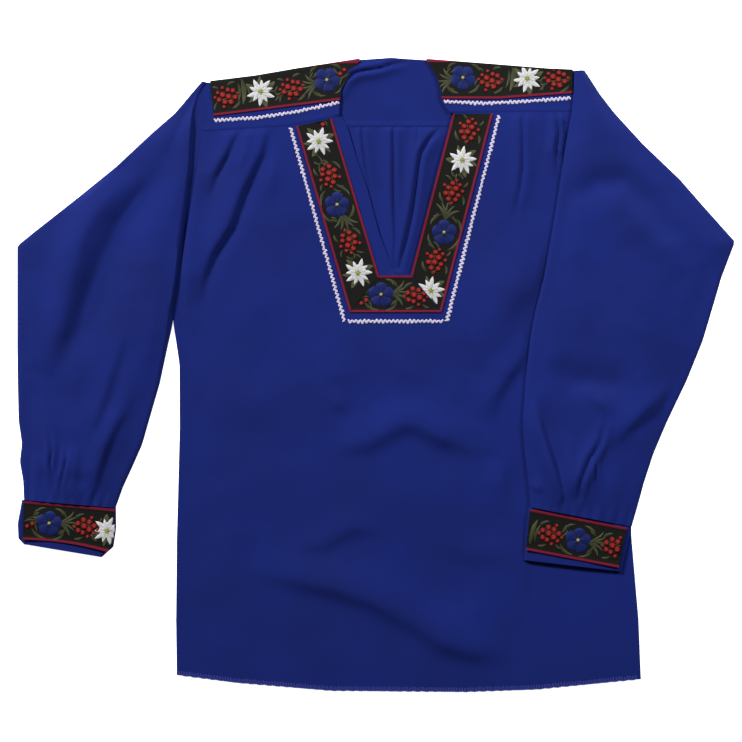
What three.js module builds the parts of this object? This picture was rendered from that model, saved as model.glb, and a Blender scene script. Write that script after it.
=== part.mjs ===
// A herdsman shirt of blue cotton, laid flat on its back with its sleeves spread, the
// right one lying over the side of the body. Millimetres, +Z up, the surface it lies on
// at z = 0. +Y points from the hem to the neck. Left and right are as seen from above.
// Each piece is a wall of cloth on a grid of points on its middle layer.
import * as THREE from "three";

// Walls and clearances.
const CLOTH = 1.5;                     // cotton panels, each with its turned seams
const TRIM = 1.0;                      // woven ribbon and zigzag braid
const GAP = 0.3;                       // between pieces at a seam and between layers
const LAYER = CLOTH + GAP;             // from one layer of cloth to the next
const BACK_MID = CLOTH / 2;            // middle of the layer that lies on the surface
const FRONT_MID = BACK_MID + LAYER;    // middle of the front where it meets the back
const FRONT_LOFT = 1.5;                // how far the front stands off the back inside
const TUBE_OPEN = 3;                   // between the two layers at a sleeve's folds
const FOLD_REACH = 1.6;                // plan length of a fold's round edge
const SLEEVE_LOFT = 3.5;               // how far a sleeve's top layer stands up inside
const LEFT_CREST = 2.6;                // and the left one's along its inner fold
const CUFF_SEAM = { left: -154, right: -170 };   // y of the seam's middle
const BRAID_WIDTH = 5;

// The sides of the body: armholes above y = 64, side seams below.
const BODY_SIDES = [
  { y: 380, left: -195, right: 235 },
  { y: 352, left: -199, right: 241 },
  { y: 64, left: -243.5, right: 300 },
  { y: 12, left: -236, right: 303 },
  { y: -64, left: -235.5, right: 304.5 },
  { y: -194, left: -239, right: 306 },
  { y: -293, left: -240, right: 314.5 },
  { y: -368, left: -239, right: 317.5 },
];
// The fold of the shoulders, with the back of the neck between them.
const SHOULDER_LINE = [
  { x: -210, y: 349.5 },
  { x: -145, y: 357.5 },
  { x: -96, y: 366 },
  { x: -22, y: 377.5 },
  { x: 18, y: 380 },
  { x: 60, y: 377.5 },
  { x: 137, y: 371.5 },
  { x: 205, y: 366 },
  { x: 250, y: 364 },
];
// The seam between the front yokes and the front panel.
const FRONT_SEAM = [
  { x: -205, y: 291.5 },
  { x: -103, y: 298 },
  { x: -44, y: 309.5 },
  { x: 79, y: 313.5 },
  { x: 250, y: 315.5 },
];
const HEM = [
  { x: -240, y: -359.5 },
  { x: -167, y: -369 },
  { x: -54, y: -378.5 },
  { x: 107, y: -380 },
  { x: 192, y: -377 },
  { x: 318, y: -364.5 },
];
const BACK_SEAM_Y = 297;
// The neck hole between the front yokes.
const NECK = [
  { y: 380, left: -17, right: 58 },
  { y: 359, left: -31.5, right: 71.5 },
  { y: 342, left: -41.5, right: 76.5 },
  { y: 327, left: -43.5, right: 78.5 },
  { y: 316, left: -44.3, right: 87 },
  { y: 305, left: -44.5, right: 90 },
];
// The slit below it, in the front panel.
const SLIT_FOOT = 120.5;
const SLIT = [
  { y: 316, left: -44.5, right: 93.2 },
  { y: 298, left: -35, right: 88.5 },
  { y: 261, left: -24, right: 78.8 },
  { y: 224, left: -11, right: 69 },
  { y: 169, left: 3.5, right: 54.5 },
  { y: SLIT_FOOT, left: 22.5, right: 41.6 },
];
// Ribbon and braid round the slit: the ends of each side's edges, foot and head.
const FRAME_SIDES = [
  {
    name: "left",
    outward: -1,
    inner: { from: [3.7, 118.8], to: [-53, 306.8] },
    outer: { from: [-31.6, 75], to: [-95.8, 297.5] },
    braid: { from: [-37.8, 61.5], to: [-102.8, 296.5] },
  },
  {
    name: "right",
    outward: 1,
    inner: { from: [41, 118.8], to: [91.6, 312.3] },
    outer: { from: [78, 75], to: [139.7, 312.6] },
    braid: { from: [84.3, 61.5], to: [147.2, 311] },
  },
];
const FRAME_BRAID_FOOT = { y: 64, from: -34.6, to: 81 };
// Ribbon and braid along the shoulders: the ribbon's lower edge and the braid's middle.
const SHOULDER_TRIM = [
  {
    name: "left",
    ribbon: [{ x: -195, y: 310.2 }, { x: -133, y: 317.8 }, { x: -43, y: 329.2 }],
    braid: [{ x: -195, y: 304.6 }, { x: -145, y: 307.4 }, { x: -102, y: 313.7 }, { x: -43, y: 326.2 }],
    ends: (y) => [mix(-194.8, -198.8, ramp(y, 313, 350)), read(NECK, "y", y, "left") - GAP],
  },
  {
    name: "right",
    ribbon: [{ x: 79, y: 330.8 }, { x: 146, y: 330.6 }, { x: 235, y: 337.4 }],
    braid: [{ x: 80, y: 327.4 }, { x: 129, y: 325 }, { x: 180, y: 327.4 }, { x: 234, y: 331.7 }],
    ends: (y) => [read(NECK, "y", y, "right") + GAP, mix(233.4, 235.4, ramp(y, 325, 345))],
  },
];
// The ribbon's turn over the shoulder: how far past the fold, and how high.
const SHOULDER_TURN = [
  { past: 1.2, height: 0.7 },
  { past: 1.2, height: 3.1 },
  { past: 0.6, height: 4.05 },
];
// The ribbons on the cuffs, by the ends of their two edges.
const CUFF_RIBBONS = [
  {
    name: "left",
    near: { from: [-421.4, -151.4], to: [-314.4, -161.2] },
    far: { from: [-422.4, -197.4], to: [-322.1, -211.4] },
  },
  {
    name: "right",
    near: { from: [185.2, -160.8], to: [298.8, -182.8] },
    far: { from: [180, -209.4], to: [289, -230.2] },
  },
];

// Soft folds, each a ridge from one end to the other, or a trough where it drops.
const FRONT_FOLDS = [
  { name: "pleat left, outer", x1: -172, y1: 292, x2: -204, y2: 214, width: 11, rise: 2.2 },
  { name: "pleat left, long, upper", x1: -130, y1: 290, x2: -178, y2: 180, width: 12, rise: 3.4 },
  { name: "pleat left, long, lower", x1: -178, y1: 180, x2: -211, y2: 92, width: 14, rise: 2.8 },
  { name: "pleat right, inner", x1: 178, y1: 306, x2: 174, y2: 215, width: 9, rise: 2.2 },
  { name: "chest, slanting", x1: 122, y1: 50, x2: 148, y2: -60, width: 18, rise: 2.4 },
  { name: "waist", x1: -20, y1: -66, x2: 112, y2: -92, width: 20, rise: 3 },
  { name: "belly left", x1: -150, y1: -243, x2: -10, y2: -268, width: 22, rise: 2.4 },
  { name: "belly right", x1: 5, y1: -278, x2: 120, y2: -322, width: 20, rise: 2.6 },
];
const LEFT_SLEEVE_FOLDS = [
  { name: "elbow trough, upper", x1: -288, y1: 214, x2: -346, y2: 112, width: 22, rise: -2.4 },
  { name: "elbow trough, lower", x1: -346, y1: 112, x2: -392, y2: 14, width: 22, rise: -2.2 },
  { name: "crown ridge", x1: -262, y1: 252, x2: -272, y2: 96, width: 24, rise: 3 },
  { name: "forearm ridge", x1: -372, y1: 60, x2: -372, y2: -90, width: 22, rise: 2.4 },
  { name: "inner trough", x1: -312, y1: 40, x2: -332, y2: -46, width: 16, rise: -2 },
];
const RIGHT_SLEEVE_FOLDS = [
  { name: "crown ridge", x1: 268, y1: 285, x2: 262, y2: 90, width: 26, rise: 2.6 },
  { name: "elbow ridge", x1: 330, y1: 200, x2: 372, y2: 110, width: 24, rise: 2.4 },
  { name: "elbow trough", x1: 276, y1: 10, x2: 322, y2: 34, width: 20, rise: -2.2 },
  { name: "forearm crease", x1: 345, y1: -18, x2: 282, y2: -80, width: 15, rise: 2.6 },
];
// How far in from its sides, its top and the hem the front is eased up to its full loft,
// and its folds to their full rise. "Right" is from the fold of the right sleeve.
const LOFT_EASE = { left: [-238, -150], right: [3, 60], top: [3, 66], hem: [4, 58] };
const FOLD_EASE = { left: [-240, -222], right: [4, 14], top: [0, 28], hem: [4, 40] };
// The back's pleats that show in the neck: where they start at the yoke, and the x and y
// that they run down to.
const BACK_PLEATS = { at: [-14, 24, 62], footX: 24, footY: 120, fadeY: 170, width: 6, rise: 1.1 };
// The front panel's rows before its seam and hem bend them, and the y from which they are
// bent. Below the slit its two middle columns draw apart, by "widening" in all.
const FRONT_ROWS = {
  y: [
    313, 296, 276, 254, 230, 205, 178, 148, SLIT_FOOT, 96, 66, 34, 0, -36, -64, -92, -124,
    -160, -200, -232, -262, -292, -320, -348, -376,
  ],
  bentAbove: 205,
  bentBelow: -292,
  widening: 12,
  widestY: -300,
};
// Gathers where a sleeve is sewn to its cuff.
const GATHER = { count: 5, rise: 1.3, reach: 46 };

// A sleeve's sections, from the shoulder to the cuff seam. Outer is the edge away from
// the body. Inner is the fold next to it, and seam is where the sleeve's edges are sewn:
// to the armhole down to y = 64, and to each other below.
const LEFT_SLEEVE = [
  { outerX: -208.4, outerY: 351.2, innerX: -205, innerY: 350.8, seamX: -199.6 },
  { outerX: -223.5, outerY: 334, innerX: -216, innerY: 334, seamX: -202.2 },
  { outerX: -241.5, outerY: 313, innerX: -221.5, innerY: 313, seamX: -205.4 },
  { outerX: -270, outerY: 288, innerX: -223, innerY: 288, seamX: -209.2 },
  { outerX: -313, outerY: 248, innerX: -225, innerY: 248, seamX: -215.4 },
  { outerX: -355.5, outerY: 213.5, innerX: -229.5, innerY: 213.5, seamX: -220.8 },
  { outerX: -409, outerY: 171.5, innerX: -235, innerY: 171.5, seamX: -227.2 },
  { outerX: -430, outerY: 154.5, innerX: -237, innerY: 154.5, seamX: -229.8 },
  { outerX: -430, outerY: 112, innerX: -242, innerY: 112, seamX: -236.4 },
  { outerX: -430, outerY: 66, innerX: -249.5, innerY: 66, seamX: -244.2 },
  { outerX: -430, outerY: 34, innerX: -256.5, innerY: 34, seamX: -250.6 },
  { outerX: -429.5, outerY: -10, innerX: -266, innerY: -10, seamX: -260 },
  { outerX: -428.5, outerY: -55, innerX: -279, innerY: -55, seamX: -273 },
  { outerX: -424.5, outerY: -82, innerX: -287, innerY: -83, seamX: -281 },
  { outerX: -427, outerY: -104, innerX: -298, innerY: -108, seamX: -292 },
  { outerX: -423, outerY: -127, innerX: -309, innerY: -134, seamX: -304 },
  { outerX: -422, outerY: -149.8, innerX: -318, innerY: -158.8, seamX: -313 },
];
const RIGHT_SLEEVE = [
  { outerX: 249.6, outerY: 364.6, innerX: 240.2, innerY: 361.5, seamX: 243.6 },
  { outerX: 268, outerY: 336, innerX: 237.2, innerY: 336, seamX: 245.2 },
  { outerX: 286, outerY: 313, innerX: 234, innerY: 313, seamX: 249.4 },
  { outerX: 320, outerY: 276, innerX: 227, innerY: 276, seamX: 257 },
  { outerX: 364, outerY: 234, innerX: 220.5, innerY: 234, seamX: 265.6 },
  { outerX: 391, outerY: 203, innerX: 216, innerY: 203, seamX: 272 },
  { outerX: 430, outerY: 159.5, innerX: 208.5, innerY: 159.5, seamX: 281 },
  { outerX: 414, outerY: 117.5, innerX: 201, innerY: 117.5, seamX: 289.4 },
  { outerX: 403, outerY: 80, innerX: 191.5, innerY: 80, seamX: 297.4 },
  { outerX: 398, outerY: 63, innerX: 188, innerY: 63, seamX: 302.5 },
  { outerX: 391, outerY: 40, innerX: 184, innerY: 40, seamX: 303 },
  { outerX: 372, outerY: -7, innerX: 179, innerY: -7, seamX: 294 },
  { outerX: 349, outerY: -55, innerX: 175.5, innerY: -55, seamX: 280 },
  { outerX: 332, outerY: -94, innerX: 177.5, innerY: -88, seamX: 268 },
  { outerX: 320, outerY: -130, innerX: 181, innerY: -118, seamX: 256 },
  { outerX: 313, outerY: -155, innerX: 183.5, innerY: -140, seamX: 250 },
  { outerX: 305.6, outerY: -181.2, innerX: 184.5, innerY: -158.2, seamX: 246 },
];
const LEFT_CUFF = [
  { outerX: -424.5, outerY: -149.95, innerX: -312, innerY: -159.7, seamX: -368 },
  { outerX: -429.8, outerY: -178, innerX: -311.8, innerY: -184, seamX: -370 },
  { outerX: -428, outerY: -200, innerX: -318.5, innerY: -214.5, seamX: -372 },
];
const RIGHT_CUFF = [
  { outerX: 305.4, outerY: -181.5, innerX: 182.6, innerY: -158.3, seamX: 244 },
  { outerX: 300.5, outerY: -206, innerX: 178.6, innerY: -192, seamX: 241 },
  { outerX: 294, outerY: -235.2, innerX: 176.8, innerY: -221.5, seamX: 238 },
];
// Where the right sleeve's under layer comes down from the body to the surface.
const COVER = { on: 314, off: 350, topOn: 52, topOff: 92 };

const mix = THREE.MathUtils.lerp;

// 0 at "from", 1 at "to", smooth between.
function ramp(value, from, to) {
  const t = THREE.MathUtils.clamp((value - from) / (to - from), 0, 1);
  return t * t * (3 - 2 * t);
}

// Reads column "name" of a table whose rows run along column "key".
function read(table, key, at, name) {
  const falling = table[0][key] > table[1][key];
  const rows = falling ? [...table].reverse() : table;
  let index = 1;
  while (index < rows.length - 1 && rows[index][key] < at) {
    index += 1;
  }
  const low = rows[index - 1];
  const high = rows[index];
  const t = THREE.MathUtils.clamp((at - low[key]) / (high[key] - low[key]), 0, 1);
  return mix(low[name], high[name], t);
}

// The rise of a table of folds at a place.
function foldRise(folds, x, y) {
  let rise = 0;
  for (const fold of folds) {
    const alongX = fold.x2 - fold.x1;
    const alongY = fold.y2 - fold.y1;
    const length = Math.hypot(alongX, alongY);
    const s = ((x - fold.x1) * alongX + (y - fold.y1) * alongY) / (length * length);
    const nearest = THREE.MathUtils.clamp(s, 0, 1);
    const away = Math.hypot(x - fold.x1 - nearest * alongX, y - fold.y1 - nearest * alongY);
    const here = fold.rise * Math.exp(-((away / fold.width) ** 2));
    rise = Math.abs(here) > Math.abs(rise) ? here : rise;
  }
  return rise;
}

const shoulderY = (x) => read(SHOULDER_LINE, "x", x, "y");
const frontSeamY = (x) => read(FRONT_SEAM, "x", x, "y");
const hemY = (x) => read(HEM, "x", x, "y");

// 0 at the edges of the front and 1 inside, eased as a table says.
function eased(x, y, topY, ease) {
  const sleeveFold = read(RIGHT_SLEEVE, "innerY", y, "innerX");
  const sides = ramp(x, ...ease.left) * ramp(sleeveFold - x, ...ease.right);
  return sides * ramp(topY - y, ...ease.top) * ramp(y - hemY(x), ...ease.hem);
}

// The middle of the front, which the yokes, ribbons and braid follow too.
function frontHeight(x, y) {
  const loft = FRONT_LOFT * eased(x, y, shoulderY(x), LOFT_EASE);
  return FRONT_MID + loft + foldRise(FRONT_FOLDS, x, y) * eased(x, y, frontSeamY(x), FOLD_EASE);
}

// The middle of the back, flat but for the pleats that show in the neck.
function backHeight(x, y) {
  const { at, footX, footY, fadeY, width, rise } = BACK_PLEATS;
  const rises = at.map((pleat) => {
    const centre = mix(footX, pleat, ramp(y, footY, BACK_SEAM_Y));
    return rise * Math.exp(-(((x - centre) / width) ** 2));
  });
  return BACK_MID + Math.max(...rises) * ramp(y, footY, fadeY);
}

// One closed wall of even thickness on a grid of points, rows by columns.
function wall(grid, thickness, keeps = () => true) {
  const columns = grid[0].length;
  const points = grid.flat();
  const normals = points.map(() => new THREE.Vector3());
  const faces = [];
  for (let row = 0; row < grid.length - 1; row += 1) {
    for (let column = 0; column < columns - 1; column += 1) {
      if (!keeps(row, column)) {
        continue;
      }
      const a = row * columns + column;
      const b = a + 1;
      const c = b + columns;
      const d = a + columns;
      const across = points[c].clone().sub(points[a]);
      const down = points[d].clone().sub(points[b]);
      const normal = down.cross(across).normalize();
      for (const corner of [a, b, c, d]) {
        normals[corner].add(normal);
      }
      faces.push([a, d, c], [a, c, b]);
    }
  }
  const used = [...new Set(faces.flat())];
  const slot = new Map(used.map((point, index) => [point, index]));
  const positions = [];
  for (const side of [0.5, -0.5]) {
    for (const point of used) {
      const offset = normals[point].clone().normalize().multiplyScalar(side * thickness);
      positions.push(...points[point].clone().add(offset).toArray());
    }
  }
  const indices = [];
  const edges = new Set();
  for (const face of faces) {
    const [a, b, c] = face.map((point) => slot.get(point));
    indices.push(a, b, c, a + used.length, c + used.length, b + used.length);
    edges.add(`${a},${b}`).add(`${b},${c}`).add(`${c},${a}`);
  }
  for (const edge of edges) {
    const [a, b] = edge.split(",").map(Number);
    if (!edges.has(`${b},${a}`)) {
      indices.push(b, a, a + used.length, b, a + used.length, b + used.length);
    }
  }
  const geometry = new THREE.BufferGeometry();
  geometry.setAttribute("position", new THREE.Float32BufferAttribute(positions, 3));
  geometry.setIndex(indices);
  geometry.computeVertexNormals();
  return geometry;
}

const shirt = new THREE.Group();

function addPiece(name, geometry, colour, roughness) {
  const material = new THREE.MeshStandardMaterial({ color: colour, roughness, metalness: 0 });
  const piece = new THREE.Mesh(geometry, material);
  piece.name = name;
  shirt.add(piece);
}

const addCloth = (name, geometry) => addPiece(name, geometry, 0x20308c, 0.85);
const addRibbon = (name, geometry) => addPiece(name, geometry, 0x1c1a16, 0.7);
const addBraid = (name, geometry) => addPiece(name, geometry, 0xe4dcee, 0.8);

const spread = (count) => Array.from({ length: count + 1 }, (_, index) => index / count);

const bodyEdges = (y) => [
  read(BODY_SIDES, "y", y, "left") + GAP / 2,
  read(BODY_SIDES, "y", y, "right") - GAP / 2,
];

// Front panel: rows from the yoke seam to the hem. The cells between the slit's two edge
// columns are left out above its foot.
function frontPanel() {
  const { y: rows, bentAbove, bentBelow, widening, widestY } = FRONT_ROWS;
  const topY = rows[0];
  const footY = rows[rows.length - 1];
  const sideColumns = spread(10);
  const grid = rows.map((nominal) => {
    const bent = (x) => {
      const top = (frontSeamY(x) - GAP - topY) * ramp(nominal, bentAbove, topY);
      return nominal + top + (hemY(x) - footY) * ramp(nominal, bentBelow, footY);
    };
    const place = (xAt) => {
      let y = nominal;
      for (let pass = 0; pass < 3; pass += 1) {
        y = bent(xAt(y));
      }
      return new THREE.Vector3(xAt(y), y, frontHeight(xAt(y), y));
    };
    const apart = (y) => widening * ramp(y, SLIT_FOOT, widestY);
    const slitLeft = (y) => read(SLIT, "y", y, "left") - apart(y);
    const slitRight = (y) => read(SLIT, "y", y, "right") + apart(y);
    return [
      ...sideColumns.map((t) => place((y) => mix(bodyEdges(y)[0], slitLeft(y), t))),
      place((y) => mix(slitLeft(y), slitRight(y), 0.5)),
      ...sideColumns.map((t) => place((y) => mix(slitRight(y), bodyEdges(y)[1], t))),
    ];
  });
  const footRow = rows.indexOf(SLIT_FOOT);
  const slitFrom = sideColumns.length - 1;
  const slitTo = slitFrom + 2;
  return wall(grid, CLOTH, (row, column) => row >= footRow || column < slitFrom || column >= slitTo);
}

// The points of a piece between a top and a foot line, at given shares of its width.
function panelGrid({ rows, columns, top, foot, edges, height }) {
  return rows.map((v) => columns.map((u) => {
    let x = 0;
    let y = 0;
    for (let pass = 0; pass < 4; pass += 1) {
      y = mix(top(x), foot(x), v);
      x = mix(...edges(y), u);
    }
    return new THREE.Vector3(x, y, height(x, y));
  }));
}

// Back: the panel with its pleats, and the yoke above it.
addCloth("back_panel", wall(panelGrid({
  rows: [0, 0.06, 0.13, 0.2, 0.27, 0.35, 0.5, 0.75, 1],
  columns: [0, 0.2, 0.37, 0.4, 0.415, 0.43, 0.46, 0.475, 0.49, 0.52, 0.545, 0.56, 0.575, 0.61, 0.8, 1],
  top: () => BACK_SEAM_Y - GAP,
  foot: hemY,
  edges: bodyEdges,
  height: backHeight,
}), CLOTH));
addCloth("back_yoke", wall(panelGrid({
  rows: spread(3),
  columns: spread(16),
  top: shoulderY,
  foot: () => BACK_SEAM_Y,
  edges: bodyEdges,
  height: () => BACK_MID,
}), CLOTH));

// Front: the panel with its slit, and a yoke each side of the neck.
addCloth("front_panel", frontPanel());
for (const [name, edges] of [
  ["left", (y) => [bodyEdges(y)[0], read(NECK, "y", y, "left")]],
  ["right", (y) => [read(NECK, "y", y, "right"), bodyEdges(y)[1]]],
]) {
  addCloth(`front_yoke_${name}`, wall(panelGrid({
    rows: spread(4),
    columns: spread(8),
    top: shoulderY,
    foot: frontSeamY,
    edges,
    height: frontHeight,
  }), CLOTH));
}

// A sleeve or cuff: one piece of cloth wrapped from its seam, under, round the outer
// edge, back over the top to the inner fold, and on to the seam again. The last stretch
// is tucked under the top layer, or steps down beside it to the armhole.
function wrapped(sections, { under, upper, last, tucked }) {
  const grid = sections.map((section) => {
    const outer = new THREE.Vector2(section.outerX, section.outerY);
    const along = new THREE.Vector2(section.innerX, section.innerY).sub(outer);
    const chord = along.length();
    along.normalize();
    const seam = (section.seamX - section.outerX) / along.x;
    const reach = Math.min(FOLD_REACH, chord / 5);
    const at = (distance, height) => {
      const place = outer.clone().addScaledVector(along, distance);
      return new THREE.Vector3(place.x, place.y, height(place.x, place.y, distance / chord, chord));
    };
    const fold = (layer) => (x, y, t) => (layer(x, y) + upper(x, y, t, chord)) / 2;
    const points = spread(6).map((t) => at(mix(seam - (tucked ? GAP : 0), reach, t), under));
    points.push(at(0, fold(under)));
    points.push(...spread(10).map((t) => at(mix(reach, chord - (tucked ? reach : 0), t), upper)));
    if (tucked) {
      points.push(at(chord, fold(last)));
      points.push(...spread(3).map((t) => at(mix(chord - reach, seam, t), last)));
    } else {
      points.push(...[0.5, 1].map((t) => at(mix(chord, seam, t), last)));
    }
    return points;
  });
  return wall(grid, CLOTH);
}

// Small pleats across a sleeve's top where it is sewn to the cuff.
function gatherRise(t, awayFromCuff) {
  const wave = 0.5 - 0.5 * Math.cos(2 * Math.PI * GATHER.count * t);
  return GATHER.rise * wave * ramp(awayFromCuff, GATHER.reach, 0) * ramp(t, 0, 0.1) * ramp(t, 1, 0.9);
}

const puff = (t, chord) => SLEEVE_LOFT * Math.sin(Math.PI * t) * ramp(chord, 5, 60);
const onSurface = () => BACK_MID;
const onFront = () => FRONT_MID + LAYER;

// Left sleeve: all of it on the surface. Its top stands up along the inner fold and
// steps down to the armhole.
addCloth("sleeve_left", wrapped(LEFT_SLEEVE, {
  under: onSurface,
  last: () => FRONT_MID,
  upper: (x, y, t, chord) => {
    const crest = LEFT_CREST * ramp(t, 0.75, 1) * ramp(chord, 4, 40) * ramp(y, -20, 80);
    const folds = foldRise(LEFT_SLEEVE_FOLDS, x, y) * ramp(t, 0, 0.12) * ramp(t, 1, 0.88);
    return BACK_MID + TUBE_OPEN + puff(t, chord) + crest + folds + gatherRise(t, y - CUFF_SEAM.left);
  },
  tucked: false,
}));

// Right sleeve: its under layer lies on the front panel and comes down to the surface
// beyond the side seam, and its fold covers the armhole.
function rightUnder(x, y) {
  const onBody = ramp(x, COVER.off, COVER.on) * ramp(y, COVER.topOff, COVER.topOn);
  return BACK_MID + 2 * LAYER * onBody;
}
addCloth("sleeve_right", wrapped(RIGHT_SLEEVE, {
  under: rightUnder,
  last: onFront,
  upper: (x, y, t, chord) => {
    const clearOfTuck = mix(rightUnder(x + t * chord, y), onFront(), ramp(t, 0, 0.5));
    const folds = foldRise(RIGHT_SLEEVE_FOLDS, x, y) * ramp(t, 0, 0.12) * ramp(t, 1, 0.88);
    const base = Math.max(rightUnder(x, y), clearOfTuck) + TUBE_OPEN;
    return base + puff(t, chord) + folds + gatherRise(t, y - CUFF_SEAM.right);
  },
  tucked: true,
}));

// Cuffs: flat bands, each sewn to its sleeve's gathered end.
for (const [name, sections, layer] of [
  ["cuff_left", LEFT_CUFF, onSurface],
  ["cuff_right", RIGHT_CUFF, onFront],
]) {
  addCloth(name, wrapped(sections, {
    under: layer,
    last: layer,
    upper: () => layer() + TUBE_OPEN,
    tucked: true,
  }));
}

// Trim lies on the cloth below it: the cloth's middle, moved out.
const TRIM_RISE = CLOTH / 2 + GAP + TRIM / 2;
const onFrontCloth = (x, y) => frontHeight(x, y) + TRIM_RISE;

// A strip of trim between two edges, each given by its two ends.
function strip(near, far, steps, height) {
  const grid = spread(2).map((across) => spread(steps).map((t) => {
    const x = mix(mix(near.from[0], near.to[0], t), mix(far.from[0], far.to[0], t), across);
    const y = mix(mix(near.from[1], near.to[1], t), mix(far.from[1], far.to[1], t), across);
    return new THREE.Vector3(x, y, height(x, y));
  }));
  return wall(grid, TRIM);
}

// Ribbon and braid round the slit: two sides and a foot, the ribbon mitred.
for (const frame of FRAME_SIDES) {
  const clearOfFoot = ({ from: [x, y], to }) => ({ from: [x + frame.outward * GAP, y + GAP], to });
  addRibbon(
    `neck_ribbon_${frame.name}`,
    strip(clearOfFoot(frame.inner), clearOfFoot(frame.outer), 10, onFrontCloth),
  );
  const beside = (offset) => ({
    from: [frame.braid.from[0] + offset, frame.braid.from[1]],
    to: [frame.braid.to[0] + offset, frame.braid.to[1]],
  });
  addBraid(
    `neck_braid_${frame.name}`,
    strip(beside(-BRAID_WIDTH / 2), beside(BRAID_WIDTH / 2), 10, onFrontCloth),
  );
}
const [frameLeft, frameRight] = FRAME_SIDES;
addRibbon("neck_ribbon_foot", strip(
  { from: frameLeft.inner.from, to: frameRight.inner.from },
  { from: frameLeft.outer.from, to: frameRight.outer.from },
  5,
  onFrontCloth,
));
const braidFoot = (offset) => ({
  from: [FRAME_BRAID_FOOT.from, FRAME_BRAID_FOOT.y + offset],
  to: [FRAME_BRAID_FOOT.to, FRAME_BRAID_FOOT.y + offset],
});
addBraid("neck_braid_foot", strip(braidFoot(BRAID_WIDTH / 2), braidFoot(-BRAID_WIDTH / 2), 5, onFrontCloth));

// Ribbon and braid along each shoulder. The ribbon turns over the shoulder's fold.
for (const trim of SHOULDER_TRIM) {
  const ribbon = panelGrid({
    rows: [0.06, 0.4, 0.7, 1],
    columns: spread(8),
    top: shoulderY,
    foot: (x) => read(trim.ribbon, "x", x, "y"),
    edges: trim.ends,
    height: onFrontCloth,
  });
  const turn = SHOULDER_TURN.map(({ past, height }) => (
    ribbon[0].map(({ x }) => new THREE.Vector3(x, shoulderY(x) + past, height))
  ));
  addRibbon(`shoulder_ribbon_${trim.name}`, wall([...turn, ...ribbon], TRIM));
  addBraid(`shoulder_braid_${trim.name}`, wall(panelGrid({
    rows: [0, 1],
    columns: spread(8),
    top: (x) => read(trim.braid, "x", x, "y") + BRAID_WIDTH / 2,
    foot: (x) => read(trim.braid, "x", x, "y") - BRAID_WIDTH / 2,
    edges: trim.ends,
    height: onFrontCloth,
  }), TRIM));
}

// Ribbon on each cuff.
const cuffTop = { left: onSurface() + TUBE_OPEN, right: onFront() + TUBE_OPEN };
for (const { name, near, far } of CUFF_RIBBONS) {
  addRibbon(`cuff_ribbon_${name}`, strip(near, far, 4, () => cuffTop[name] + TRIM_RISE));
}

export default shirt;
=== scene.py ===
import math

import bpy
import numpy as np
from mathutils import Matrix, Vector, noise


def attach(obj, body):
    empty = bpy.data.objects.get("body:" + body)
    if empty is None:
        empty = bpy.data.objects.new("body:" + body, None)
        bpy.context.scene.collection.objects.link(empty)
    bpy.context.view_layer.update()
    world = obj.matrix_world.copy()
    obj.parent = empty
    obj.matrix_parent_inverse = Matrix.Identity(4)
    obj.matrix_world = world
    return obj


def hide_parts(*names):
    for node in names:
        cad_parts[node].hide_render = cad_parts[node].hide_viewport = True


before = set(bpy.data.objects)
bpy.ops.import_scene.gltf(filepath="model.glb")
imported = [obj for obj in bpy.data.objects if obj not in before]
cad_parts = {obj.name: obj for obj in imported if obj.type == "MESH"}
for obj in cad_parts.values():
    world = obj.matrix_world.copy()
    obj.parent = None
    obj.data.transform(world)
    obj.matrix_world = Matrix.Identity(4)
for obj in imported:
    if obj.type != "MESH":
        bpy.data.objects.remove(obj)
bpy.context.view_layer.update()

MM = 0.001               # the tables below are in millimetres, as a maker's are

# The view: straight down on the shirt from about two metres, through a long lens. The
# width of the picture at the table is VIEW_WIDTH, centred on VIEW_CENTRE.
VIEW_WIDTH = 890.4 * MM
VIEW_CENTRE = (-6.2 * MM, 4.6 * MM)
LENS, SENSOR = 85, 36
camera_data = bpy.data.cameras.new("camera")
camera_data.lens = LENS
camera_data.sensor_width = SENSOR
camera = bpy.data.objects.new("camera", camera_data)
camera.location = (*VIEW_CENTRE, VIEW_WIDTH * LENS / SENSOR)
bpy.context.scene.collection.objects.link(camera)
bpy.context.scene.camera = camera

# The light: one soft lamp up at the top left, a weaker one at the top right, and a dim
# white room. Colours are shown as they are, with no film curve.
bpy.context.scene.view_settings.view_transform = "Standard"
for name, place, size, power in [
    ("key_lamp", (-2.6, 3.1, 2.2), 0.7, 450),
    ("side_lamp", (1.3, 1.0, 1.1), 0.6, 32),
]:
    lamp_data = bpy.data.lights.new(name, "AREA")
    lamp_data.size = size
    lamp_data.energy = power
    lamp = bpy.data.objects.new(name, lamp_data)
    lamp.location = place
    lamp.rotation_euler = (-Vector(place)).to_track_quat("-Z", "Y").to_euler()
    bpy.context.scene.collection.objects.link(lamp)
room = bpy.data.worlds.new("room")
room.use_nodes = True


def set_inputs(node, values):
    for socket, value in values.items():
        node.inputs[socket].default_value = value


set_inputs(room.node_tree.nodes["Background"], {"Color": (0.93, 0.96, 1, 1), "Strength": 0.12})
bpy.context.scene.world = room

# The table top: a plain, pale, matt sheet that the shirt lies on.
TABLE_SIZE = 6
TABLE_GAP = 0.4 * MM     # keeps the table's face off the shirt's underside
bpy.ops.object.select_all(action="DESELECT")
bpy.ops.mesh.primitive_plane_add(size=TABLE_SIZE, location=(0, 0, -TABLE_GAP))
table_top = bpy.context.object
table_top.name = "table_top"


def new_material(name, values):
    material = bpy.data.materials.new(name)
    material.use_nodes = True
    tree = material.node_tree
    shader = tree.nodes["Principled BSDF"]
    set_inputs(shader, values)
    return material, tree, shader


table_paint = new_material("table_paint", {
    "Base Color": (0.9, 0.9, 0.9, 1), "Roughness": 0.9,
    "Emission Color": (1, 1, 1, 1), "Emission Strength": 1,
})[0]
table_top.data.materials.append(table_paint)

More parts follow.
